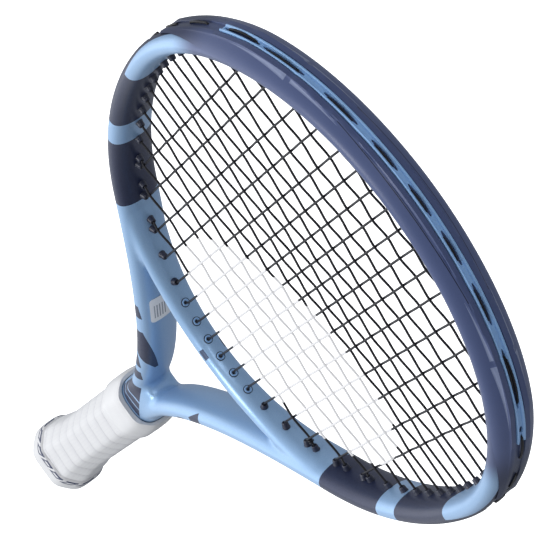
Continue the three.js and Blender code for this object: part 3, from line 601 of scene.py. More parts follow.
def bumper_section(turn):
    half, depth = beam_width(turn) / 2, hoop_depth(turn)
    reach, thickness = bumper_reach(turn), bumper_thickness(turn)
    share_of_full = thickness / BUMPER_THICKNESS
    base = groove_floor(turn) - half + GAP
    channel = mix(2.3, CHANNEL_HALF_WIDTH, tipness(turn))
    start = math.degrees(math.atan2(channel, half + thickness))
    params = np.linspace(start, reach, 26)
    share = (params - start) / (reach - start)
    profile = thickness * (1 - share**0.6) + 0.55 * share * share_of_full
    u, z = superellipse(1.0, 1.0, BEAM_POWER, params)
    angle = np.degrees(np.arctan2(z * depth, u * half))
    grown = GAP + profile + bumper_relief(turn, angle) * share_of_full * (1 - share**6)
    outer_u, outer_z = u * (half + grown), z * (depth + grown)
    outer_z[0] = max(outer_z[0], channel + 0.45)
    lip = [(base + STRIP_THICKNESS, channel - 0.1), (outer_u[0] - 0.5, channel - 0.05)]
    lip += [(outer_u[0] - 0.12, channel + 0.1)]
    back = superellipse(half + 0.25, depth + 0.25, BEAM_POWER, np.linspace(reach - 1.5, 28, 8))
    foot = [(base, STRIP_HALF_WIDTH)]
    upper = np.vstack([lip, np.stack([outer_u, outer_z], -1), np.stack(back, -1), foot])
    outline = np.vstack([upper, upper[::-1] * [1, -1]])
    return on_hoop(turn, outline[:, 0] + half, outline[:, 1])


def bumper_guard():
    build = Builder()
    ring_turns = np.linspace(BUMPER_TURN, 360 - BUMPER_TURN, BUMPER_RINGS)
    build.tube([bumper_section(turn) for turn in ring_turns])
    made = build.build("bumper_guard_shell", crease=50)
    points = mesh_points(made)
    turns = np.repeat(ring_turns, len(points) // BUMPER_RINGS)
    middle, normal = beam_line(turns)
    u = dot(points[:, :2] - middle, normal)
    add_attribute(made, "away", np.abs(180 - turns))
    add_attribute(made, "around", np.degrees(np.arctan2(np.abs(points[:, 2]), u)))
    return made


def rounded_box(low_u, high_u, half_z, radius=0.3):
    """The outline of a strip's section, with its corners rounded in three points each."""
    corners = [(high_u, half_z, 0), (low_u, half_z, 90), (low_u, -half_z, 180), (high_u, -half_z, 270)]
    outline = []
    for u, z, start in corners:
        inward_u = math.copysign(radius, (low_u + high_u) / 2 - u)
        inward_z = math.copysign(radius, -z)
        for degrees in (start, start + 45, start + 90):
            a = math.radians(degrees)
            outline.append((u + inward_u + radius * math.cos(a), z + inward_z + radius * math.sin(a)))
    return np.array(outline)


def insert_floor(turn):
    return groove_floor(turn) + GAP + STRIP_THICKNESS + GAP


def outer_loops():
    loops = []
    for i in range(len(mains) - 1):
        end = "tip" if i % 2 == 1 else "throat"
        loops.append((mains[i][end], mains[i + 1][end]))
    for i in range(len(crosses) - 1):
        end = "right" if i % 2 == 0 else "left"
        loops.append((crosses[i][end], crosses[i + 1][end]))
    return loops


def insert_slots():
    free = [mains[0]["tip"], mains[-1]["tip"], crosses[0]["left"], crosses[-1]["right"]]
    slots = []
    for a, b in outer_loops() + [(hole, hole) for hole in free]:
        if a.owner != "bumper" or b.owner != "bumper":
            continue
        low, high = sorted((a.full_turn(), b.full_turn()))
        if high > INSERT_TURN and low < 360 - INSERT_TURN:
            slots.append((low - 1.0, high + 1.0))
    return slots


def channel_insert():
    """Two light rails with a sunk web between them, cut through where the strings loop."""
    rail_top, chamfer = 0.35, 0.3
    web, rail_inner, rail_outer = 0.9, 1.3, 2.35
    rings = []
    for turn in np.linspace(INSERT_TURN, 360 - INSERT_TURN, 240):
        bumper_top = beam_width(turn) + GAP + bumper_thickness(turn)
        height = min(2.0, bumper_top + rail_top - insert_floor(turn))
        profile = [(0, rail_outer), (height - chamfer, rail_outer), (height, rail_outer - 0.35)]
        profile += [(height, rail_inner + 0.35), (height - chamfer, rail_inner), (web, rail_inner - chamfer)]
        outline = np.array(profile + [(u, -z) for u, z in profile[::-1]])
        rings.append(on_hoop(turn, insert_floor(turn) + outline[:, 0], outline[:, 1]))
    build = Builder()
    build.tube(rings)
    made = build.build("channel_insert_rails")
    cut_away(made, slot_cutters())
    sharp_by_angle(made, 40)
    return made


def slot_cutters():
    """A lens-shaped bar for each run of string loops under the insert."""
    build = Builder()
    for low, high in merged(insert_slots()):
        slot = []
        for share in np.linspace(0, 1, 28):
            turn = mix(low, high, share)
            open_width = 0.25 + 0.70 * math.sin(math.pi * share) ** 0.5
            box = rounded_box(-1.0, 3.2, open_width, 0.2)
            slot.append(on_hoop(turn, insert_floor(turn) + box[:, 0], box[:, 1]))
        build.tube(slot)
    return build.build("slot_cutters")


def merged(spans):
    """Joins spans that overlap."""
    out = []
    for low, high in sorted(spans):
        if out and low <= out[-1][1]:
            out[-1][1] = max(out[-1][1], high)
        else:
            out.append([low, high])
    return out


def barrel_rings(hole, stand):
    """A grommet's barrel: a rounded nose with the string's bore in it, standing this far out of the beam."""
    nose = -stand
    profile = [(2.5, 2.15), (0.6, 2.15), (-0.1, 2.05), (-0.6, 1.85), (nose + 0.7, 1.72)]
    profile += [(nose + 0.25, 1.62), (nose, 1.35), (nose + 0.05, 1.05), (nose + 0.5, 0.85), (nose + 2.2, 0.8)]
    return turned_rings(hole, profile)


def flush_ring(hole):
    """A low rounded ring round a string hole in the bridge."""
    profile = [(2.0, 1.95), (0.2, 2.05), (-0.25, 1.95), (-0.45, 1.7)]
    profile += [(-0.4, 1.35), (-0.1, 1.0), (1.2, 0.9), (2.2, 0.85)]
    return turned_rings(hole, profile)


def turned_rings(hole, profile):
    """Circles of (distance along the hole, radius) about the hole's axis."""
    along = unit(hole.at(1.0) - hole.at(0.0))
    return [circle(hole.at(u), along, radius, full_circle(16)) for u, radius in profile]


def add_barrels(build, owner, side=None):
    stand = SIDE_BARREL_STAND if owner == "side" else BARREL_STAND
    for hole in holes:
        if hole.owner == owner and side in (None, hole.side):
            build.tube(flush_ring(hole) if owner == "throat" else barrel_rings(hole, stand))


def side_grommets(side):
    """The strip along one flank, from the arm to the bumper, with its barrels."""
    build = Builder()
    rings = []
    low = BEAM_WIDTH / 2 - GROOVE_DEPTH + GAP
    box = rounded_box(low, low + STRIP_THICKNESS, STRIP_HALF_WIDTH)
    for t in np.linspace(0.42, 0.02, 40):
        rings.append(place(arm_point(t), arm_normal(t), box[:, 0], box[:, 1], side))
    for turn in np.linspace(BRANCH_TURN, BUMPER_TURN - 1, 80):
        floor = groove_floor(turn) + GAP
        box = rounded_box(floor, floor + STRIP_THICKNESS, STRIP_HALF_WIDTH)
        rings.append(place(*inner_edge(turn), box[:, 0], box[:, 1], side))
    build.tube(rings)
    add_barrels(build, "side", side)
    return build.build("side_grommets_left_strip" if side < 0 else "side_grommets_right_strip", crease=45)


def throat_grommets():
    build = Builder()
    floor = BRIDGE_WIDTH + GAP
    box = rounded_box(floor, floor + STRIP_THICKNESS, STRIP_HALF_WIDTH)
    turns = np.linspace(-BRIDGE_STRIP_TURN, BRIDGE_STRIP_TURN, 50)
    build.tube([on_hoop(turn, box[:, 0], box[:, 1]) for turn in turns])
    add_barrels(build, "throat")
    return build.build("throat_grommet_rings", crease=45)


def throat_hole_shadow_rings():
    """A dark ring round each hole that holds a flush throat ring: painted shadow, standing for the shade in
    the gap between the ring and the hole's edge.
    """
    profile = [(1.5, 2.2), (0.1, 2.5), (-0.15, 2.45), (-0.2, 2.25), (0.0, 2.1)]
    build = Builder()
    for hole in holes:
        if hole.owner == "throat":
            build.tube(turned_rings(hole, profile))
    return build.build("throat_hole_painted_shadow_rims", crease=45)


def dark_barrels(owner):
    build = Builder()
    add_barrels(build, owner)
    return build.build(owner + "_grommet_barrels", crease=45)


# ------------------------------------------------------------------ strings
def weave_run(knots, samples=7):
    """A smooth wave through knots (x, y, z): straight in plan, level at each knot."""
    points = []
    for a, b in zip(knots[:-1], knots[1:]):
        for share in np.linspace(0, 1, samples)[:-1]:
            point = mix(a, b, share)
            point[2] = mix(a[2], b[2], share * share * (3 - 2 * share))
            points.append(point)
    points.append(knots[-1])
    return points


def crossing_sign(i, k):
    return 1 if (i + k) % 2 == 0 else -1


def main_run(i):
    """One main from the outside of the throat to the outside of the tip."""
    main = mains[i]
    knots = [main["low"]]
    for k in reversed(range(len(crosses))):
        if meets(main, crosses[k]):
            y = crosses[k]["y"]
            knots.append(np.array([main_x_at(main, y), y, -MAIN_WAVE * crossing_sign(i, k)]))
    knots.append(main["high"])
    throat, tip = main["throat"], main["tip"]
    return [throat.at(throat.outside), *weave_run(knots), tip.at(tip.outside)]


def cross_run(k):
    """One cross from the outside of the left flank to the outside of the right one."""
    left, right, y = crosses[k]["left"], crosses[k]["right"], crosses[k]["y"]
    knots = [left.at(-STRING_BEND)]
    for i, main in enumerate(mains):
        if meets(main, crosses[k]):
            knots.append(np.array([main_x_at(main, y), y, CROSS_WAVE * crossing_sign(i, k)]))
    knots.append(right.at(-STRING_BEND))
    return [left.at(left.outside), *weave_run(knots), right.at(right.outside)]


def loop_points(a, b):
    """Along the outside of the frame from one hole to the next, bowed out a little in the middle."""
    points = []
    for share in np.linspace(0, 1, 9)[1:-1]:
        bow = LOOP_BOW * math.sin(math.pi * share) * bumper_fullness((a.turn + b.turn) / 2)
        if a.owner.startswith("throat") and b.owner.startswith("throat"):
            turn = mix(a.side * a.turn, b.side * b.turn, share)
            points.append(on_hoop(turn, BRIDGE_WIDTH + LANE_RISE + bow, a.lane))
            continue
        full = mix(a.full_turn(), b.full_turn(), share)
        side = 1.0 if full < 180 else -1.0
        rail = full if side > 0 else 360 - full
        if rail < BRANCH_TURN:
            t = (BRANCH_TURN - rail) / ARM_RAIL
            u = BEAM_WIDTH / 2 - GROOVE_DEPTH + LANE_RISE + bow
            points.append(place(arm_point(t), arm_normal(t), u, a.lane, side))
        else:
            edge, normal = inner_edge(rail)
            points.append(place(edge, normal, groove_floor(rail) + LANE_RISE + bow, a.lane, side))
    return points


def rounded_path(points):
    """Cuts each sharp corner of a path into a short bend."""
    out = [points[0]]
    for before, here, after in zip(points[:-2], points[1:-1], points[2:]):
        towards, away = unit(here - before), unit(after - here)
        if towards @ away > 0.985:
            out.append(here)
            continue
        cut = min(0.9, np.linalg.norm(here - before) / 3, np.linalg.norm(after - here) / 3)
        start, end = here - cut * towards, here + cut * away
        for share in (0.0, 0.33, 0.67, 1.0):
            out.append(mix(mix(start, here, share), mix(here, end, share), share))
    out.append(points[-1])
    return out


def string_tube(build, path, radius=STRING_RADIUS, sides=10):
    path = np.array(rounded_path(path))
    heading = unit(np.diff(path, axis=0))
    rings = []
    for i, point in enumerate(path):
        before, after = heading[max(0, i - 1)], heading[min(len(heading) - 1, i)]
        rings.append(circle(point, unit(before + after), radius, full_circle(sides)))
    build.tube(rings)


def knot(build, at, towards):
    """Tight turns of string round the string's own end."""
    turns, pitch = 2.4, 1.15
    along = unit(np.asarray(towards) - at)
    path = []
    for angle in np.linspace(0, turns * 2 * np.pi, 60):
        out = STRING_RADIUS * (1.75 + 0.25 * math.sin(3 * angle))
        centre = at + along * (angle / (2 * np.pi) * pitch - 1.2)
        path.append(circle(centre, along, out, np.array([angle]))[0])
    string_tube(build, path, STRING_RADIUS * 0.92, 8)


def main_string():
    path = []
    for i in range(len(mains)):
        run = main_run(i)
        tip_last = i % 2 == 1
        path += run if tip_last else run[::-1]
        if i < len(mains) - 1:
            end = "tip" if tip_last else "throat"
            path += loop_points(mains[i][end], mains[i + 1][end])
    build = Builder()
    string_tube(build, path)
    for main in (mains[0], mains[-1]):
        knot(build, mix(main["high"], main["low"], 0.012), main["low"])
    return build.build("main_string_weave")


def cross_string():
    path = []
    for k in range(len(crosses)):
        run = cross_run(k)
        rightwards = k % 2 == 0
        path += run if rightwards else run[::-1]
        if k < len(crosses) - 1:
            end = "right" if rightwards else "left"
            path += loop_points(crosses[k][end], crosses[k + 1][end])
    build = Builder()
    string_tube(build, path)
    first, last = cross_run(0), cross_run(len(crosses) - 1)
    knot(build, mix(first[1], first[-2], 0.03), first[-2])
    knot(build, mix(last[-2], last[1], 0.02), last[1])
    return build.build("cross_string_weave")


# ------------------------------------------------------------------ handle
GRIP_HALF_WIDTH, GRIP_HALF_HEIGHT, GRIP_THICKNESS, GRIP_SINK = 16.7, 15.2, 1.1, 1.9
GRIP_START, GRIP_TUCK_Y, GRIP_END, GRIP_PITCH = 22.0, 177.0, 188.0, 17.6
FLARE_Y = [0, 3, 12, 20, 34, 46, 58, 68]
FLARE_WIDTH = [20.6, 21.8, 22.0, 21.7, 20.6, 18.8, 17.2, GRIP_HALF_WIDTH]
FLARE_HEIGHT = [16.4, 17.3, 17.5, 17.3, 16.9, 16.2, 15.5, GRIP_HALF_HEIGHT]
OCTAGON_FLAT, OCTAGON_SIDE = 0.52, 0.44
ROUND_ANGLES = full_circle(128)
SINK_END_Y, TAPE_START = 62.0, 178.0
DOOR_HALF, PLUG_HALF, DOOR_GAP = (11.0, 7.5), (9.0, 5.5), 0.3


def eased(y, ys, values):
    """Smooth interpolation: a running average of the straight-line one."""
    return np.mean([np.interp(y + d, ys, values) for d in np.linspace(-4, 4, 9)], axis=0)


def octagon_radius(half_width, half_height, angles, softness=9.0):
    """Distance from the axis to a handle's octagonal outline with eased corners, at each angle."""
    flat, side = half_width * OCTAGON_FLAT, half_height * OCTAGON_SIDE
    c, s = np.abs(np.cos(angles)), np.abs(np.sin(angles))
    normal = np.array([half_height - side, half_width - flat])
    reach = (half_width * normal[0] + side * normal[1]) / np.hypot(*normal)
    normal = normal / np.hypot(*normal)
    walls = np.stack([c / half_width, s / half_height, (c * normal[0] + s * normal[1]) / reach])
    return 1 / (walls ** (2 * softness)).sum(0) ** (1 / (2 * softness))


def ring_at(y, radius):
    """A ring round the handle's axis, from its distance at each angle."""
    x, z = radius * np.cos(ROUND_ANGLES), radius * np.sin(ROUND_ANGLES)
    return np.stack([x, np.full_like(x, y), z], -1)


def handle_ring(y, half_width, half_height, extra=0.0, softness=9.0):
    return ring_at(y, octagon_radius(half_width, half_height, ROUND_ANGLES, softness) + extra)


def rounded_rings(rows, half_width, half_height, power=3.0):
    """Rounded oblong rings through rows of (y, growth)."""
    rings = []
    for y, grow in rows:
        c, s = np.abs(np.cos(ROUND_ANGLES)), np.abs(np.sin(ROUND_ANGLES))
        walls = (c / (half_width + grow)) ** power + (s / (half_height + grow)) ** power
        rings.append(ring_at(y, walls ** (-1 / power)))
    return rings


def handle_size(y):
    return eased(y, FLARE_Y, FLARE_WIDTH), eased(y, FLARE_Y, FLARE_HEIGHT)


def wrap_height(y, angles):
    """The wound strip's surface: a crown along each turn and a lap where the next one covers its edge."""
    phase = (y - GRIP_START) / GRIP_PITCH - angles / (2 * np.pi)
    share = phase % 1.0
    lap = smoothstep(share, 0.0, 0.055) - smoothstep(share, 0.93, 1.0)
    crown = np.sin(np.pi * np.clip(share, 0, 1)) ** 0.6
    return 0.75 * (lap - 1) + 0.25 * (crown - 1) + 0.3 * (1 - share)


def grip_sink(y):
    """How far the grip runs in under the cap's flare."""
    return GRIP_SINK * smoothstep(y, SINK_END_Y, GRIP_START)


def grip_wrap():
    rings = []
    for y in np.arange(GRIP_START, GRIP_END + 0.01, 0.6):
        width, height = handle_size(y)
        end = 0.5 * smoothstep(y, GRIP_START + 1.2, GRIP_START)
        end += grip_sink(y) + 0.75 * smoothstep(y, GRIP_TUCK_Y - 2, GRIP_TUCK_Y)
        rings.append(handle_ring(y, width, height, wrap_height(y, ROUND_ANGLES) - end))
    for y in (GRIP_END, 120.0, 68.0, 40.0, GRIP_START):
        width, height = handle_size(y)
        sink = GRIP_THICKNESS + grip_sink(y)
        rings.append(handle_ring(y, width - sink, height - sink))
    made = sleeve("grip_wrap_leather", rings)
    points = mesh_points(made)
    y = points[:, 1]
    angles = np.arctan2(points[:, 2], points[:, 0])
    add_attribute(made, "along", y)
    add_attribute(made, "wound", (y - GRIP_START) / GRIP_PITCH)
    add_attribute(made, "angle", np.where(angles < 0, angles + 2 * np.pi, angles))
    return made


def outward(faces, rings):
    """Faces of a ring-closed sleeve, turned to point out of the material."""
    first, count = rings[0], len(rings[0])
    a, b, c = first[0], first[1], rings[1][0]
    normal = np.cross(b - a, c - a)
    outwards = a - [0, a[1], 0]
    return faces if normal @ outwards > 0 else [tuple(reversed(f)) for f in faces]



def sleeve(name, rings):
    """A closed sleeve through rings: along its outside, then back along its inside."""
    rings = np.array(rings)
    faces = tube_faces(len(rings), rings.shape[1], ring_closed=True)
    return mesh_object(name, rings.reshape(-1, 3), outward(faces, rings))


def grip_tack():
    """The tack under the start of the grip, with its head sunk as far as the grip is there."""
    low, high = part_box("grip_tack")
    middle = (low + high) / 2 / MM
    top = high.z / MM - grip_sink(middle.y) - 0.4
    head = [(0.0, 0.3), (0.0, 1.1), (-0.15, 1.5), (-0.4, 1.5), (-0.5, 1.1)]
    shank = [(-0.5, 0.45), (-1.9, 0.4), (-2.3, 0.1)]
    angles = full_circle(24)
    rings = []
    for z, radius in head + shank:
        x, y = middle.x + radius * np.cos(angles), middle.y + radius * np.sin(angles)
        rings.append(np.stack([x, y, np.full_like(x, top + z)], -1))
    build = Builder()
    build.tube(rings)
    return build.build("grip_tack_pin")


def finishing_tape():
    w, h = GRIP_HALF_WIDTH - 0.35, GRIP_HALF_HEIGHT - 0.35
    outside = [(TAPE_START, 0.1), (TAPE_START + 0.3, 0.25), (GRIP_END - 0.3, 0.25), (GRIP_END, 0.1)]
    inside = [(GRIP_END, 0.0), (TAPE_START, 0.0)]
    return sleeve("finishing_tape_band", [handle_ring(y, w, h, grow) for y, grow in outside + inside])


def collar_lip(end):
    """The collar's mouth, drawn in to the shaft's own outline."""
    rows = [(end - 0.1, 0.6), (end - 0.5, 0.32), (end - 2.0, 0.32)]
    return rounded_rings(rows, NECK_HALF_WIDTH, DEPTH_SHAFT + 0.4, 2.9)


def swell(ys, centre, width):
    return np.exp(-(((ys - centre) / width) ** 2))


def rubber_collar():
    low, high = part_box("rubber_collar")
    start, end = low.y / MM, high.y / MM
    clear_w, clear_h = GRIP_HALF_WIDTH + 0.55, GRIP_HALF_HEIGHT + 0.55
    ys = np.linspace(start, end, 60)
    stations = [start, start + 12, end - 8, end]
    widths = clear_w + eased(ys, stations, [0.75, 1.2, 0.9, -0.4])
    heights = clear_h + eased(ys, stations, [0.7, 1.2, 0.8, -0.7])
    ends = 0.5 * (smoothstep(ys, start + 1.6, start) + 1.3 * smoothstep(ys, end - 2.2, end))
    ridges = 0.28 * swell(ys, start + 3.2, 1.2) + 0.25 * swell(ys, end - 4.5, 1.5)
    extras = ridges - 0.22 * swell(ys, start + 6, 1.3) - ends
    neck_w, neck_h = NECK_HALF_WIDTH + 1.5, DEPTH_SHAFT + 1.5
    inside = [(end - 2, neck_w, neck_h), (GRIP_END + 7, neck_w, neck_h)]
    inside += [(GRIP_END + 1, clear_w, clear_h), (start, clear_w, clear_h)]
    rings = [handle_ring(y, w, h, extra, 7.0) for y, w, h, extra in zip(ys, widths, heights, extras)]
    rings += collar_lip(end)
    rings += [handle_ring(y, w, h, softness=6.0) for y, w, h in inside]
    made = sleeve("rubber_collar_sleeve", rings)
    sharp_by_angle(made, 50)
    return made


def butt_cap():
    """The moulded cap: a soft-edged flare with a doorway in its end."""
    edge_depths = [0, 0.15, 0.5, 1.0, 1.7, 2.6, 4, 6, 8, 10, 12, 14]
    depth = np.array(edge_depths + [15.6, 16.0, 16.4, 17, 18, 19, 20, 20.8, 21.3, 21.6])
    edge = -2.2 * (1 - np.clip(depth / 2.6, 0, 1)) ** 2.2
    step = -0.35 * smoothstep(depth, 15.6, 16.2)
    lip = -0.5 * smoothstep(depth, 20.8, 21.6)
    outside = list(zip(depth, edge + step + lip, [8.0] * len(depth)))
    under_grip = [(21.9, -3.6, 9.0), (40, -2.6, 9.0), (58, -1.5, 9.0), (62, -1.7, 9.0)]
    rings = [handle_ring(y, *handle_size(y), extra, softness) for y, extra, softness in outside + under_grip]
    rings += [handle_ring(y, 14.2, 12.6) for y in (62, 3.6)]
    plug_w, plug_h = PLUG_HALF
    door_w, door_h = DOOR_HALF
    rings += rounded_rings([(3.6, 0.0), (1.8, 0.0)], plug_w + DOOR_GAP, plug_h + DOOR_GAP)
    mouth = [(1.5, 0.0), (0.5, 0.0), (0.1, 0.25), (0.0, 0.6)]
    rings += rounded_rings(mouth, door_w + DOOR_GAP, door_h + DOOR_GAP)
    made = sleeve("butt_cap_shell", rings)
    sharp_by_angle(made, 55)
    return made



def trap_door():
    """The lid: a dished face with a rim, and a hollow plug behind it."""
    dish = [(0.0, -4.5), (0.0, -2.6), (0.35, -2.2), (0.35, -1.7), (0.0, -1.3)]
    rim = [(0.0, -0.5), (0.12, -0.12), (0.5, 0.0), (1.2, 0.0)]
    plug = [(1.25, 0.0), (5.7, 0.0), (6.0, -0.3), (6.0, -1.1), (2.0, -1.4)]
    build = Builder()
    build.tube(rounded_rings(dish + rim, *DOOR_HALF) + rounded_rings(plug, *PLUG_HALF))
    return build.build("trap_door_lid", crease=40)



# ------------------------------------------------------------------ label
LABEL_PLACE, LABEL_ANGLES = (0.375, 0.472), (146.0, 206.0)
LABEL_CORNER, LABEL_ACROSS, ARM_LENGTH = 2.6, 16.0, 190.0


def inspection_label():
    """A small sticker with rounded corners, wrapped over the inner face of the left arm."""
    t_low, t_high = LABEL_PLACE
    angle_low, angle_high = LABEL_ANGLES
    grid = []
    for share in np.linspace(0, 1, 26):
        t = mix(t_low, t_high, share)
        from_end = min(share, 1 - share) * (t_high - t_low) * ARM_LENGTH
        into_corner = max(0.0, LABEL_CORNER - from_end)
        inset = LABEL_CORNER - math.sqrt(LABEL_CORNER**2 - into_corner**2)
        swing = inset / LABEL_ACROSS * (angle_high - angle_low)
        params = np.linspace(angle_low + swing, angle_high - swing, 22)
        depth = mix(DEPTH_SIDE, DEPTH_ARM, t)
        outside = superellipse(BEAM_WIDTH / 2 + 0.42, depth + 0.42, BEAM_POWER, params)
        inside = superellipse(BEAM_WIDTH / 2 + 0.12, depth + 0.12, BEAM_POWER, params[::-1])
        u, z = np.concatenate([outside, inside], axis=1)
        grid.append(place(arm_point(t), arm_normal(t), u, z, -1.0))
    build = Builder()
    build.tube(grid)
    return build.build("inspection_label_sticker", crease=50)


# ------------------------------------------------------------------ materials
def operation(kind):
    """A method that puts one math node of this kind after a value."""
    return lambda self, *others: self.calculate(kind, *others)


class Value:
    """A number in a material's node tree that ordinary arithmetic works on."""

    def __init__(self, tree, socket):
        self.tree, self.socket = tree, socket

    def feed(self, slot, item):
        """Puts a value or a plain number into a node's input."""
        if isinstance(item, Value):
            self.tree.links.new(item.socket, slot)
        else:
            slot.default_value = item

    def calculate(self, kind, *others):
        node = self.tree.nodes.new("ShaderNodeMath")
        node.operation = kind
        for i, item in enumerate((self, *others)):
            self.feed(node.inputs[i], item)
        return Value(self.tree, node.outputs[0])

    __add__ = operation("ADD")
    __sub__ = operation("SUBTRACT")
    __mul__ = operation("MULTIPLY")
    __truediv__ = operation("DIVIDE")
    __pow__ = operation("POWER")
    above = operation("GREATER_THAN")
    below = operation("LESS_THAN")
    at_least = operation("MAXIMUM")
    absolute = operation("ABSOLUTE")
    fraction = operation("FRACT")
    arctan2 = operation("ARCTAN2")

    def __rsub__(self, other):
        return self * -1.0 + other

    def ramp(self, low, high):
        """0 below low and 1 above high, eased between them."""
        node = self.tree.nodes.new("ShaderNodeMapRange")
        node.interpolation_type = "SMOOTHSTEP"
        for name, item in (("Value", self), ("From Min", low), ("From Max", high)):
            self.feed(node.inputs[name], item)
        return Value(self.tree, node.outputs["Result"])

    def between(self, low, high):
        return self.above(low) * self.below(high)


class Finish:
    """A procedural material with the few handles that the racket's pieces need."""

    def __init__(self, name, roughness=0.5, metallic=0.0, coat=0.0, sheen=0.0, specular=0.5):
        self.material = bpy.data.materials.new(name)
        self.material.use_nodes = True
        self.tree = self.material.node_tree
        self.shader = self.tree.nodes["Principled BSDF"]
        self.shader.inputs["Roughness"].default_value = roughness
        self.shader.inputs["Metallic"].default_value = metallic
        self.shader.inputs["Coat Weight"].default_value = coat
        self.shader.inputs["Coat Roughness"].default_value = 0.25
        self.shader.inputs["Sheen Weight"].default_value = sheen
        self.shader.inputs["Specular IOR Level"].default_value = specular
        coordinates = self.tree.nodes.new("ShaderNodeTexCoord")
        self.place = coordinates.outputs["Object"]
        split = self.tree.nodes.new("ShaderNodeSeparateXYZ")
        self.tree.links.new(self.place, split.inputs[0])
        self.x, self.y, self.z = [Value(self.tree, out) / MM for out in split.outputs]

    def attribute(self, name):
        node = self.tree.nodes.new("ShaderNodeAttribute")
        node.attribute_name = name
        return Value(self.tree, node.outputs["Fac"])

    def noise(self, size, detail=2.0, stretch=(1, 1, 1)):
        """Cloudy noise with features of about size millimetres."""
        mapping = self.tree.nodes.new("ShaderNodeMapping")
        mapping.inputs["Scale"].default_value = stretch
        self.tree.links.new(self.place, mapping.inputs["Vector"])
        node = self.tree.nodes.new("ShaderNodeTexNoise")
        node.inputs["Scale"].default_value = 1 / (size * MM)
        node.inputs["Detail"].default_value = detail
        self.tree.links.new(mapping.outputs[0], node.inputs["Vector"])
        return Value(self.tree, node.outputs["Fac"])

    def cells(self, size):
        node = self.tree.nodes.new("ShaderNodeTexVoronoi")
        node.inputs["Scale"].default_value = 1 / (size * MM)
        self.tree.links.new(self.place, node.inputs["Vector"])
        return Value(self.tree, node.outputs["Distance"])

    def blend(self, under, over, share):
        node = self.tree.nodes.new("ShaderNodeMix")
        node.data_type = "RGBA"
        for slot, item in ((6, under), (7, over)):
            if isinstance(item, tuple):
                node.inputs[slot].default_value = (*item, 1)
            else:
                self.tree.links.new(item, node.inputs[slot])
        if isinstance(share, Value):
            self.tree.links.new(share.socket, node.inputs[0])
        else:
            node.inputs[0].default_value = share
        return node.outputs[2]

    def paint(self, colour):
        self.tree.links.new(colour, self.shader.inputs["Base Color"])

    def drive(self, name, value):
        self.tree.links.new(value.socket, self.shader.inputs[name])

    def glow(self, strength):
        self.drive("Emission Strength", strength)
        self.shader.inputs["Emission Color"].default_value = (1, 1, 1, 1)

    def grain(self, size, spread, base, depth_mm):
        """Fine moulding grain, in roughness and in bump."""
        grain = self.noise(size, 2.0)
        self.drive("Roughness", grain * spread + base)
        self.bump(grain, depth_mm)

    def bump(self, height, depth_mm):
        node = self.tree.nodes.new("ShaderNodeBump")
        node.inputs["Strength"].default_value = 1.0
        node.inputs["Distance"].default_value = depth_mm * MM
        self.tree.links.new(height.socket, node.inputs["Height"])
        self.tree.links.new(node.outputs[0], self.shader.inputs["Normal"])


LIGHT_BLUE = (0.26, 0.43, 0.68)
PALE_BLUE = (0.37, 0.54, 0.76)
NAVY = (0.014, 0.021, 0.062)
SLATE = (0.064, 0.089, 0.200)
STRING_BLACK = (0.008, 0.008, 0.011)
STENCIL_WHITE = (0.46, 0.46, 0.48)
DARK_FLAKE = (0.026, 0.038, 0.100)
CAP_WHITE, CAP_PALE = (0.64, 0.64, 0.66), (0.70, 0.70, 0.715)


def arm_graphics(finish):
    """Angular navy blocks on the arms' upper and lower outer quarter, larger on the left arm."""
    arm, around = finish.attribute("arm"), finish.attribute("around")
    left = finish.x.below(0.0) * finish.z.above(-2.0)
    right = finish.x.above(0.0)
    lead = arm * 250.0 - 26.0
    trail = arm * 650.0 - 330.0
    main_block = arm.between(0.515, 0.72) * around.below(lead) * around.above(trail) * around.above(35.0)
    sliver_1 = arm.between(0.40, 0.452) * around.below(arm * 150 + 36.0) * around.above(40.0)
    sliver_2 = arm.between(0.655, 0.715) * around.below(arm * 220 - 57.0) * around.above(45.0)
    low_block = arm.between(0.745, 0.795) * around.below(arm * 190 - 41.0) * around.above(30.0)
    left_blocks = main_block.at_least(sliver_1).at_least(sliver_2).at_least(low_block)
    right_block = arm.between(0.555, 0.612) * around.below(arm * -320 + 290.0) * around.above(38.0)
    right_sliver = arm.between(0.66, 0.70) * around.between(50.0, 84.0)
    right_blocks = right_block.at_least(right_sliver)
    return (left_blocks * left).at_least(right_blocks * right)


def shaft_graphics(finish):
    """Navy stripes that cross the shaft's left half above the collar, with thin light gaps between them."""
    right_edge = (finish.y * -0.42) + 95.0
    slanted = finish.y - finish.x * 0.18
    region = finish.x.below(right_edge) * finish.y.between(209.6, 238.0) * finish.x.above(-12.6)
    gap_1 = slanted.between(223.2, 224.7)
    gap_2 = slanted.between(216.2, 217.2)
    return region * (1.0 - gap_1.at_least(gap_2))


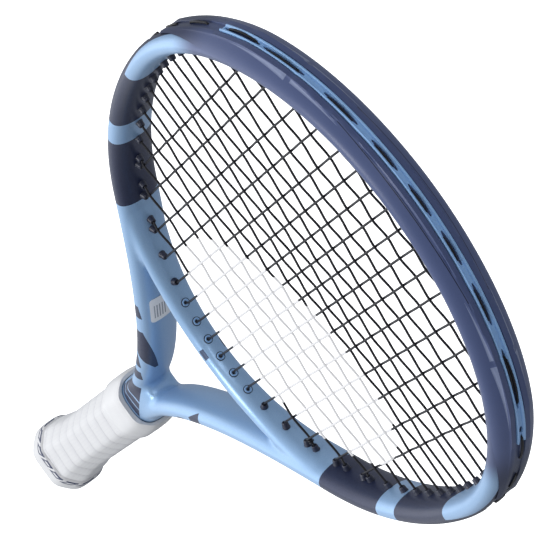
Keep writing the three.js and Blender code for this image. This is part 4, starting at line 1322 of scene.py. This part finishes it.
def frame_paint():
    finish = Finish("satin_paint", roughness=0.4, metallic=0.4, coat=0.15)
    turn, around = finish.attribute("turn"), finish.attribute("around")
    over_top = (around - 105.0).at_least(0.0) / 75.0
    below_top = (84.0 - around).at_least(0.0)
    bulge = (over_top * over_top) * 4.4
    capsule = bulge + below_top * 0.593 + (below_top * below_top) * 0.0107 + 83.6
    bridge_mark = turn.between(-1.0, 1.3) * finish.y.between(343.0, 350.0) * around.between(103.0, 131.0)
    navy = turn.between(41.9, 60.1).at_least(turn.above(66.1) * turn.below(capsule))
    for marks in (arm_graphics(finish), shaft_graphics(finish), bridge_mark * 0.9):
        navy = navy.at_least(marks)
    flakes = finish.noise(0.35, 1.0)
    clouds = finish.noise(26.0, 2.0)
    light = finish.blend(LIGHT_BLUE, PALE_BLUE, flakes.ramp(0.42, 0.62) * 0.35 + clouds * 0.25)
    faded = finish.blend(light, SLATE, turn.ramp(109.0, 119.0))
    dark = finish.blend(NAVY, DARK_FLAKE, flakes.ramp(0.45, 0.65) * 0.6)
    finish.paint(finish.blend(faded, dark, navy))
    finish.drive("Roughness", finish.noise(3.0, 3.0) * 0.08 + 0.34 + navy * 0.05)
    finish.bump(finish.noise(0.9, 2.0), 0.004)
    return finish.material


def bumper_plastic():
    finish = Finish("bumper_plastic", roughness=0.38, specular=0.3)
    away, around = finish.attribute("away"), finish.attribute("around")
    clouds = finish.noise(18.0, 3.0)
    base = finish.blend(SLATE, (0.080, 0.106, 0.225), clouds * 0.7)
    seam_angle, edges_a, edges_b = bumper_lines(away)
    on_seam = 1.0 - ((around - seam_angle).absolute()).ramp(0.6, 1.3)
    seam = on_seam * away.below(20.5)
    wedge_a_painted_highlight = away.between(34.4, 51.2) * around.between(*edges_a)
    wedge_b_painted_highlight = away.between(20.0, 33.0) * around.between(*edges_b)
    # Painted highlight: the raised wedges are painted lighter, where light catches their faces.
    base = finish.blend(base, (0.21, 0.25, 0.39), wedge_a_painted_highlight.at_least(wedge_b_painted_highlight) * 0.8)
    ends = away.ramp(56.0, 68.0)
    base = finish.blend(base, NAVY, ends * 0.85)
    finish.paint(finish.blend(base, (0.004, 0.005, 0.012), seam))
    grain = finish.noise(0.45, 2.0)
    finish.drive("Roughness", clouds * 0.10 + grain * 0.10 + 0.28)
    finish.bump(grain, 0.02)
    return finish.material


def moulded(name, colour, lighter, roughness=0.42):
    """Injection-moulded nylon: fine grain, faint flow marks."""
    finish = Finish(name, roughness=roughness)
    flow = finish.noise(7.0, 3.0, (1, 0.35, 1))
    finish.paint(finish.blend(colour, lighter, flow * 0.7))
    finish.grain(0.4, 0.14, roughness - 0.07, 0.02)
    return finish.material


STENCIL = {"x": 22.0, "y": 440.0, "half_width": 66.0, "half_length": 66.0, "slant": 0.38}


def string_finish():
    """Black polyester with a plain slanted white oval sprayed on it through a stencil."""
    finish = Finish("string_polyester", roughness=0.45, specular=0.2)
    ahead = finish.y - STENCIL["y"]
    across = (finish.x - STENCIL["x"] - ahead * STENCIL["slant"]) / STENCIL["half_width"]
    along = ahead / STENCIL["half_length"]
    distance = across * across + along * along + (finish.noise(3.0, 2.0) - 0.5) * 0.05
    sprayed = distance.below(1.0)
    worn = finish.noise(1.4, 2.0).ramp(0.20, 0.26)
    marks = finish.noise(0.5, 2.0)
    dark = finish.blend(STRING_BLACK, (0.02, 0.02, 0.028), marks * 0.8)
    finish.paint(finish.blend(dark, STENCIL_WHITE, sprayed * worn))
    finish.drive("Roughness", marks * 0.15 + 0.38 + sprayed * 0.2)
    # Painted light: the sprayed white glows a little.
    finish.glow(sprayed * worn * 0.30)
    finish.bump(finish.noise(0.3, 2.0), 0.02)
    return finish.material


def grip_leather():
    """White cushioned strip: pores in rows, fine grain, and painted shade: darker at each lap's step and
    towards the end of each turn.
    """
    finish = Finish("grip_leather", roughness=0.62, sheen=0.15)
    wound, angle = finish.attribute("wound"), finish.attribute("angle")
    phase = (wound - angle / (2 * math.pi)).fraction()
    # Painted shade: a darker band at each lap's step, where the next turn covers the edge.
    lap = 1.0 - phase.ramp(0.0, 0.10)
    shade = phase.ramp(0.55, 1.0)
    row = (phase * 7.0).fraction() - 0.5
    column = (angle * (46.0 / (2 * math.pi))).fraction() - 0.5
    pore = 1.0 - ((row * row + column * column) ** 0.5).ramp(0.13, 0.24)
    pore = pore * phase.between(0.1, 0.95)
    grain = finish.noise(0.8, 3.0)
    clouds = finish.noise(14.0, 2.0)
    base = finish.blend(CAP_WHITE, CAP_PALE, clouds)
    base = finish.blend(base, (0.50, 0.50, 0.54), pore * 0.22)
    base = finish.blend(base, (0.50, 0.50, 0.55), shade * 0.25)
    finish.paint(finish.blend(base, (0.42, 0.42, 0.46), lap * 0.6))
    finish.drive("Roughness", grain * 0.2 + 0.5)
    finish.bump(grain * 0.35 - pore * 0.7, 0.08)
    return finish.material


def soft_rubber():
    finish = Finish("collar_rubber", roughness=0.48)
    mottled = finish.noise(9.0, 2.0)
    finish.paint(finish.blend((0.66, 0.66, 0.68), (0.72, 0.72, 0.735), mottled))
    finish.grain(0.5, 0.15, 0.40, 0.02)
    return finish.material


def cap_plastic():
    """White moulded cap with a thin navy band of slanted dashes round the flare."""
    finish = Finish("cap_plastic", roughness=0.45)
    clouds = finish.noise(8.0, 2.0)
    base = finish.blend(CAP_WHITE, CAP_PALE, clouds)
    angle = finish.z.arctan2(finish.x)
    band_y = finish.y - 18.8
    slanted = (angle * (13.0 / (2 * math.pi)) + band_y * 0.07 + 50.0).fraction()
    dash = slanted.between(0.10, 0.86) * band_y.between(-2.7, 2.7)
    hollow = slanted.between(0.26, 0.70) * band_y.between(-1.2, 1.2)
    shown = dash * (1.0 - hollow)
    finish.paint(finish.blend(base, (0.02, 0.03, 0.09), shown))
    finish.grain(0.6, 0.12, 0.38, 0.015)
    return finish.material


def label_film():
    """A white sticker with plain grey bars and no writing."""
    finish = Finish("label_film", roughness=0.4)
    bars = (finish.z * 0.62).fraction().below(0.45)
    field = finish.z.between(-2.2, 5.4) * finish.y.between(315.0, 325.0)
    border = finish.noise(5.0, 1.0)
    base = finish.blend((0.84, 0.84, 0.85), (0.88, 0.88, 0.89), border)
    finish.paint(finish.blend(base, (0.14, 0.15, 0.20), bars * field * 0.75))
    finish.bump(finish.noise(1.0, 1.0), 0.01)
    return finish.material


def foam():
    finish = Finish("pallet_foam", roughness=0.9)
    cells = finish.cells(0.8)
    finish.paint(finish.blend((0.52, 0.42, 0.22), (0.72, 0.62, 0.38), cells))
    finish.bump(cells, 0.08)
    return finish.material


def steel():
    finish = Finish("staple_steel", roughness=0.3, metallic=1.0)
    brushed = finish.noise(0.6, 3.0, (1, 8, 1))
    finish.paint(finish.blend((0.42, 0.43, 0.45), (0.62, 0.63, 0.65), brushed))
    finish.drive("Roughness", brushed * 0.2 + 0.2)
    return finish.material


def tape():
    finish = Finish("wound_tape", roughness=0.8, sheen=0.2)
    fibres = finish.noise(0.5, 3.0, (1, 6, 1))
    finish.paint(finish.blend((0.68, 0.68, 0.67), (0.80, 0.80, 0.79), fibres))
    finish.bump(fibres, 0.05)
    return finish.material


# ------------------------------------------------------------------ pieces
def add_piece(made, material, slot, body, *nodes):
    made.data.materials.clear()
    made.data.materials.append(material)
    if nodes:
        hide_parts(*nodes)
    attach(made, body)


def keep_node(name, material):
    """A hidden inner piece keeps its CAD shape and gets a finish."""
    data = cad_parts[name].data
    data.materials.clear()
    data.materials.append(material)


navy_nylon = moulded("grommet_nylon", (0.010, 0.013, 0.032), (0.020, 0.026, 0.060))
light_nylon = moulded("insert_nylon", (0.24, 0.44, 0.76), (0.31, 0.52, 0.84))
strings = string_finish()
cap_finish = cap_plastic()

add_piece(painted_frame(), frame_paint(), "frame_paint", ROOT, "frame_hairpin", "throat_bridge")
add_piece(bumper_guard(), bumper_plastic(), "bumper_plastic", ROOT, "bumper_guard")
add_piece(dark_barrels("bumper"), navy_nylon, "grommet_plastic", ROOT)
add_piece(dark_barrels("throat_side"), navy_nylon, "grommet_plastic", ROOT)
# Painted shadow: dark rings round the flush throat rings.
add_piece(throat_hole_shadow_rings(), navy_nylon, "grommet_plastic", ROOT)
add_piece(channel_insert(), light_nylon, "insert_plastic", ROOT, "channel_insert")
add_piece(side_grommets(-1.0), navy_nylon, "grommet_plastic", ROOT, "side_grommets_left")
add_piece(side_grommets(1.0), navy_nylon, "grommet_plastic", ROOT, "side_grommets_right")
add_piece(throat_grommets(), light_nylon, "insert_plastic", ROOT, "throat_grommets")
add_piece(main_string(), strings, "string", ROOT, "main_string")
add_piece(cross_string(), strings, "string", ROOT, "cross_string")
add_piece(butt_cap(), cap_finish, "cap_plastic", ROOT, "butt_cap")
add_piece(trap_door(), cap_finish, "cap_plastic", "trap_door", "trap_door")
add_piece(grip_wrap(), grip_leather(), "grip_cushion", ROOT, "grip_wrap")
add_piece(finishing_tape(), tape(), "underlay_tape", ROOT, "finishing_tape")
add_piece(rubber_collar(), soft_rubber(), "collar_rubber", "rubber_collar", "rubber_collar")
add_piece(grip_tack(), steel(), "staple_steel", ROOT, "grip_tack")
add_piece(inspection_label(), label_film(), "label_film", ROOT, "inspection_label")
for node in ("pallet_top", "pallet_bottom"):
    keep_node(node, foam())
for node in ("cap_staple_top", "cap_staple_bottom"):
    keep_node(node, steel())
keep_node("grip_underlay", tape())


# ------------------------------------------------------------------ stage
FLOOR_DROP = 0.75
FLOOR_SIZE = 80.0


def floor():
    low = cad_low.z - FLOOR_DROP
    half = FLOOR_SIZE / 2
    corners = [(-half, -half, low), (half, -half, low), (half, half, low), (-half, half, low)]
    mesh = bpy.data.meshes.new("floor")
    mesh.from_pydata(corners, [], [(0, 1, 2, 3)])
    made = add_object("floor", mesh)
    finish = Finish("floor_paper", roughness=0.9, specular=0.1)
    paper = finish.blend((0.90, 0.90, 0.90), (0.93, 0.93, 0.93), finish.noise(300.0, 2.0))
    ray = finish.tree.nodes.new("ShaderNodeLightPath")
    seen = Value(finish.tree, ray.outputs["Is Camera Ray"])
    finish.paint(finish.blend((0.42, 0.43, 0.45), paper, seen))
    finish.glow(seen * 0.9)
    mesh.materials.append(finish.material)


def soft_light(name, location, aim, size, power):
    data = bpy.data.lights.new(name, "AREA")
    data.shape = "DISK"
    data.size = size
    data.energy = power
    made = add_object(name, data)
    made.location = location
    made.rotation_euler = (Vector(aim) - Vector(location)).to_track_quat("-Z", "Y").to_euler()


def world_light():
    world = bpy.data.worlds.new("studio")
    bpy.context.scene.world = world
    world.use_nodes = True
    tree = world.node_tree
    background = tree.nodes["Background"]
    background.inputs["Color"].default_value = (0.94, 0.97, 1.0, 1)
    direction = tree.nodes.new("ShaderNodeTexCoord")
    split = tree.nodes.new("ShaderNodeSeparateXYZ")
    tree.links.new(direction.outputs["Generated"], split.inputs[0])
    x, y, z = [Value(tree, out) for out in split.outputs]
    towards = x * -0.35 - y * 0.60 + z * 0.72
    tree.links.new((towards.ramp(-0.15, 0.95) * 0.75 + 0.26).socket, background.inputs["Strength"])


CAMERA_AIM = Vector((-0.0111, 0.4862, 0.0))
CAMERA_DISTANCE = 1.6766
CAMERA_AZIMUTH, CAMERA_ELEVATION, CAMERA_ROLL = 0.368, 19.805, -125.618
CAMERA_LENS, CAMERA_SENSOR = 233.92, 36.0


def camera():
    """Looks from beyond the tip along the racket, rolled so that the head hangs down to the right."""
    azimuth, elevation, roll = map(math.radians, (CAMERA_AZIMUTH, CAMERA_ELEVATION, CAMERA_ROLL))
    level_x, level_y = math.sin(azimuth) * math.cos(elevation), math.cos(azimuth) * math.cos(elevation)
    forward = Vector((-level_x, -level_y, -math.sin(elevation)))
    level = forward.cross(Vector((0, 0, 1))).normalized()
    upright = level.cross(forward)
    right = math.cos(roll) * level + math.sin(roll) * upright
    up = right.cross(forward)
    data = bpy.data.cameras.new("camera")
    data.lens, data.sensor_width = CAMERA_LENS, CAMERA_SENSOR
    data.clip_start, data.clip_end = 0.05, 200.0
    made = add_object("camera", data)
    made.matrix_world = Matrix((right, up, -forward)).transposed().to_4x4()
    made.location = CAMERA_AIM - forward * CAMERA_DISTANCE
    bpy.context.scene.camera = made


floor()
world_light()
soft_light("key", (-0.55, 0.45, 2.0), (0, 0.4, 0), size=0.8, power=19)
soft_light("back", (-1.2, -0.9, 1.1), (0, 0.35, 0), size=2.0, power=9)
soft_light("fill", (-0.4, 2.4, 0.6), (0, 0.3, 0), size=1.0, power=7)
camera()
bpy.context.scene.view_settings.view_transform = "Standard"
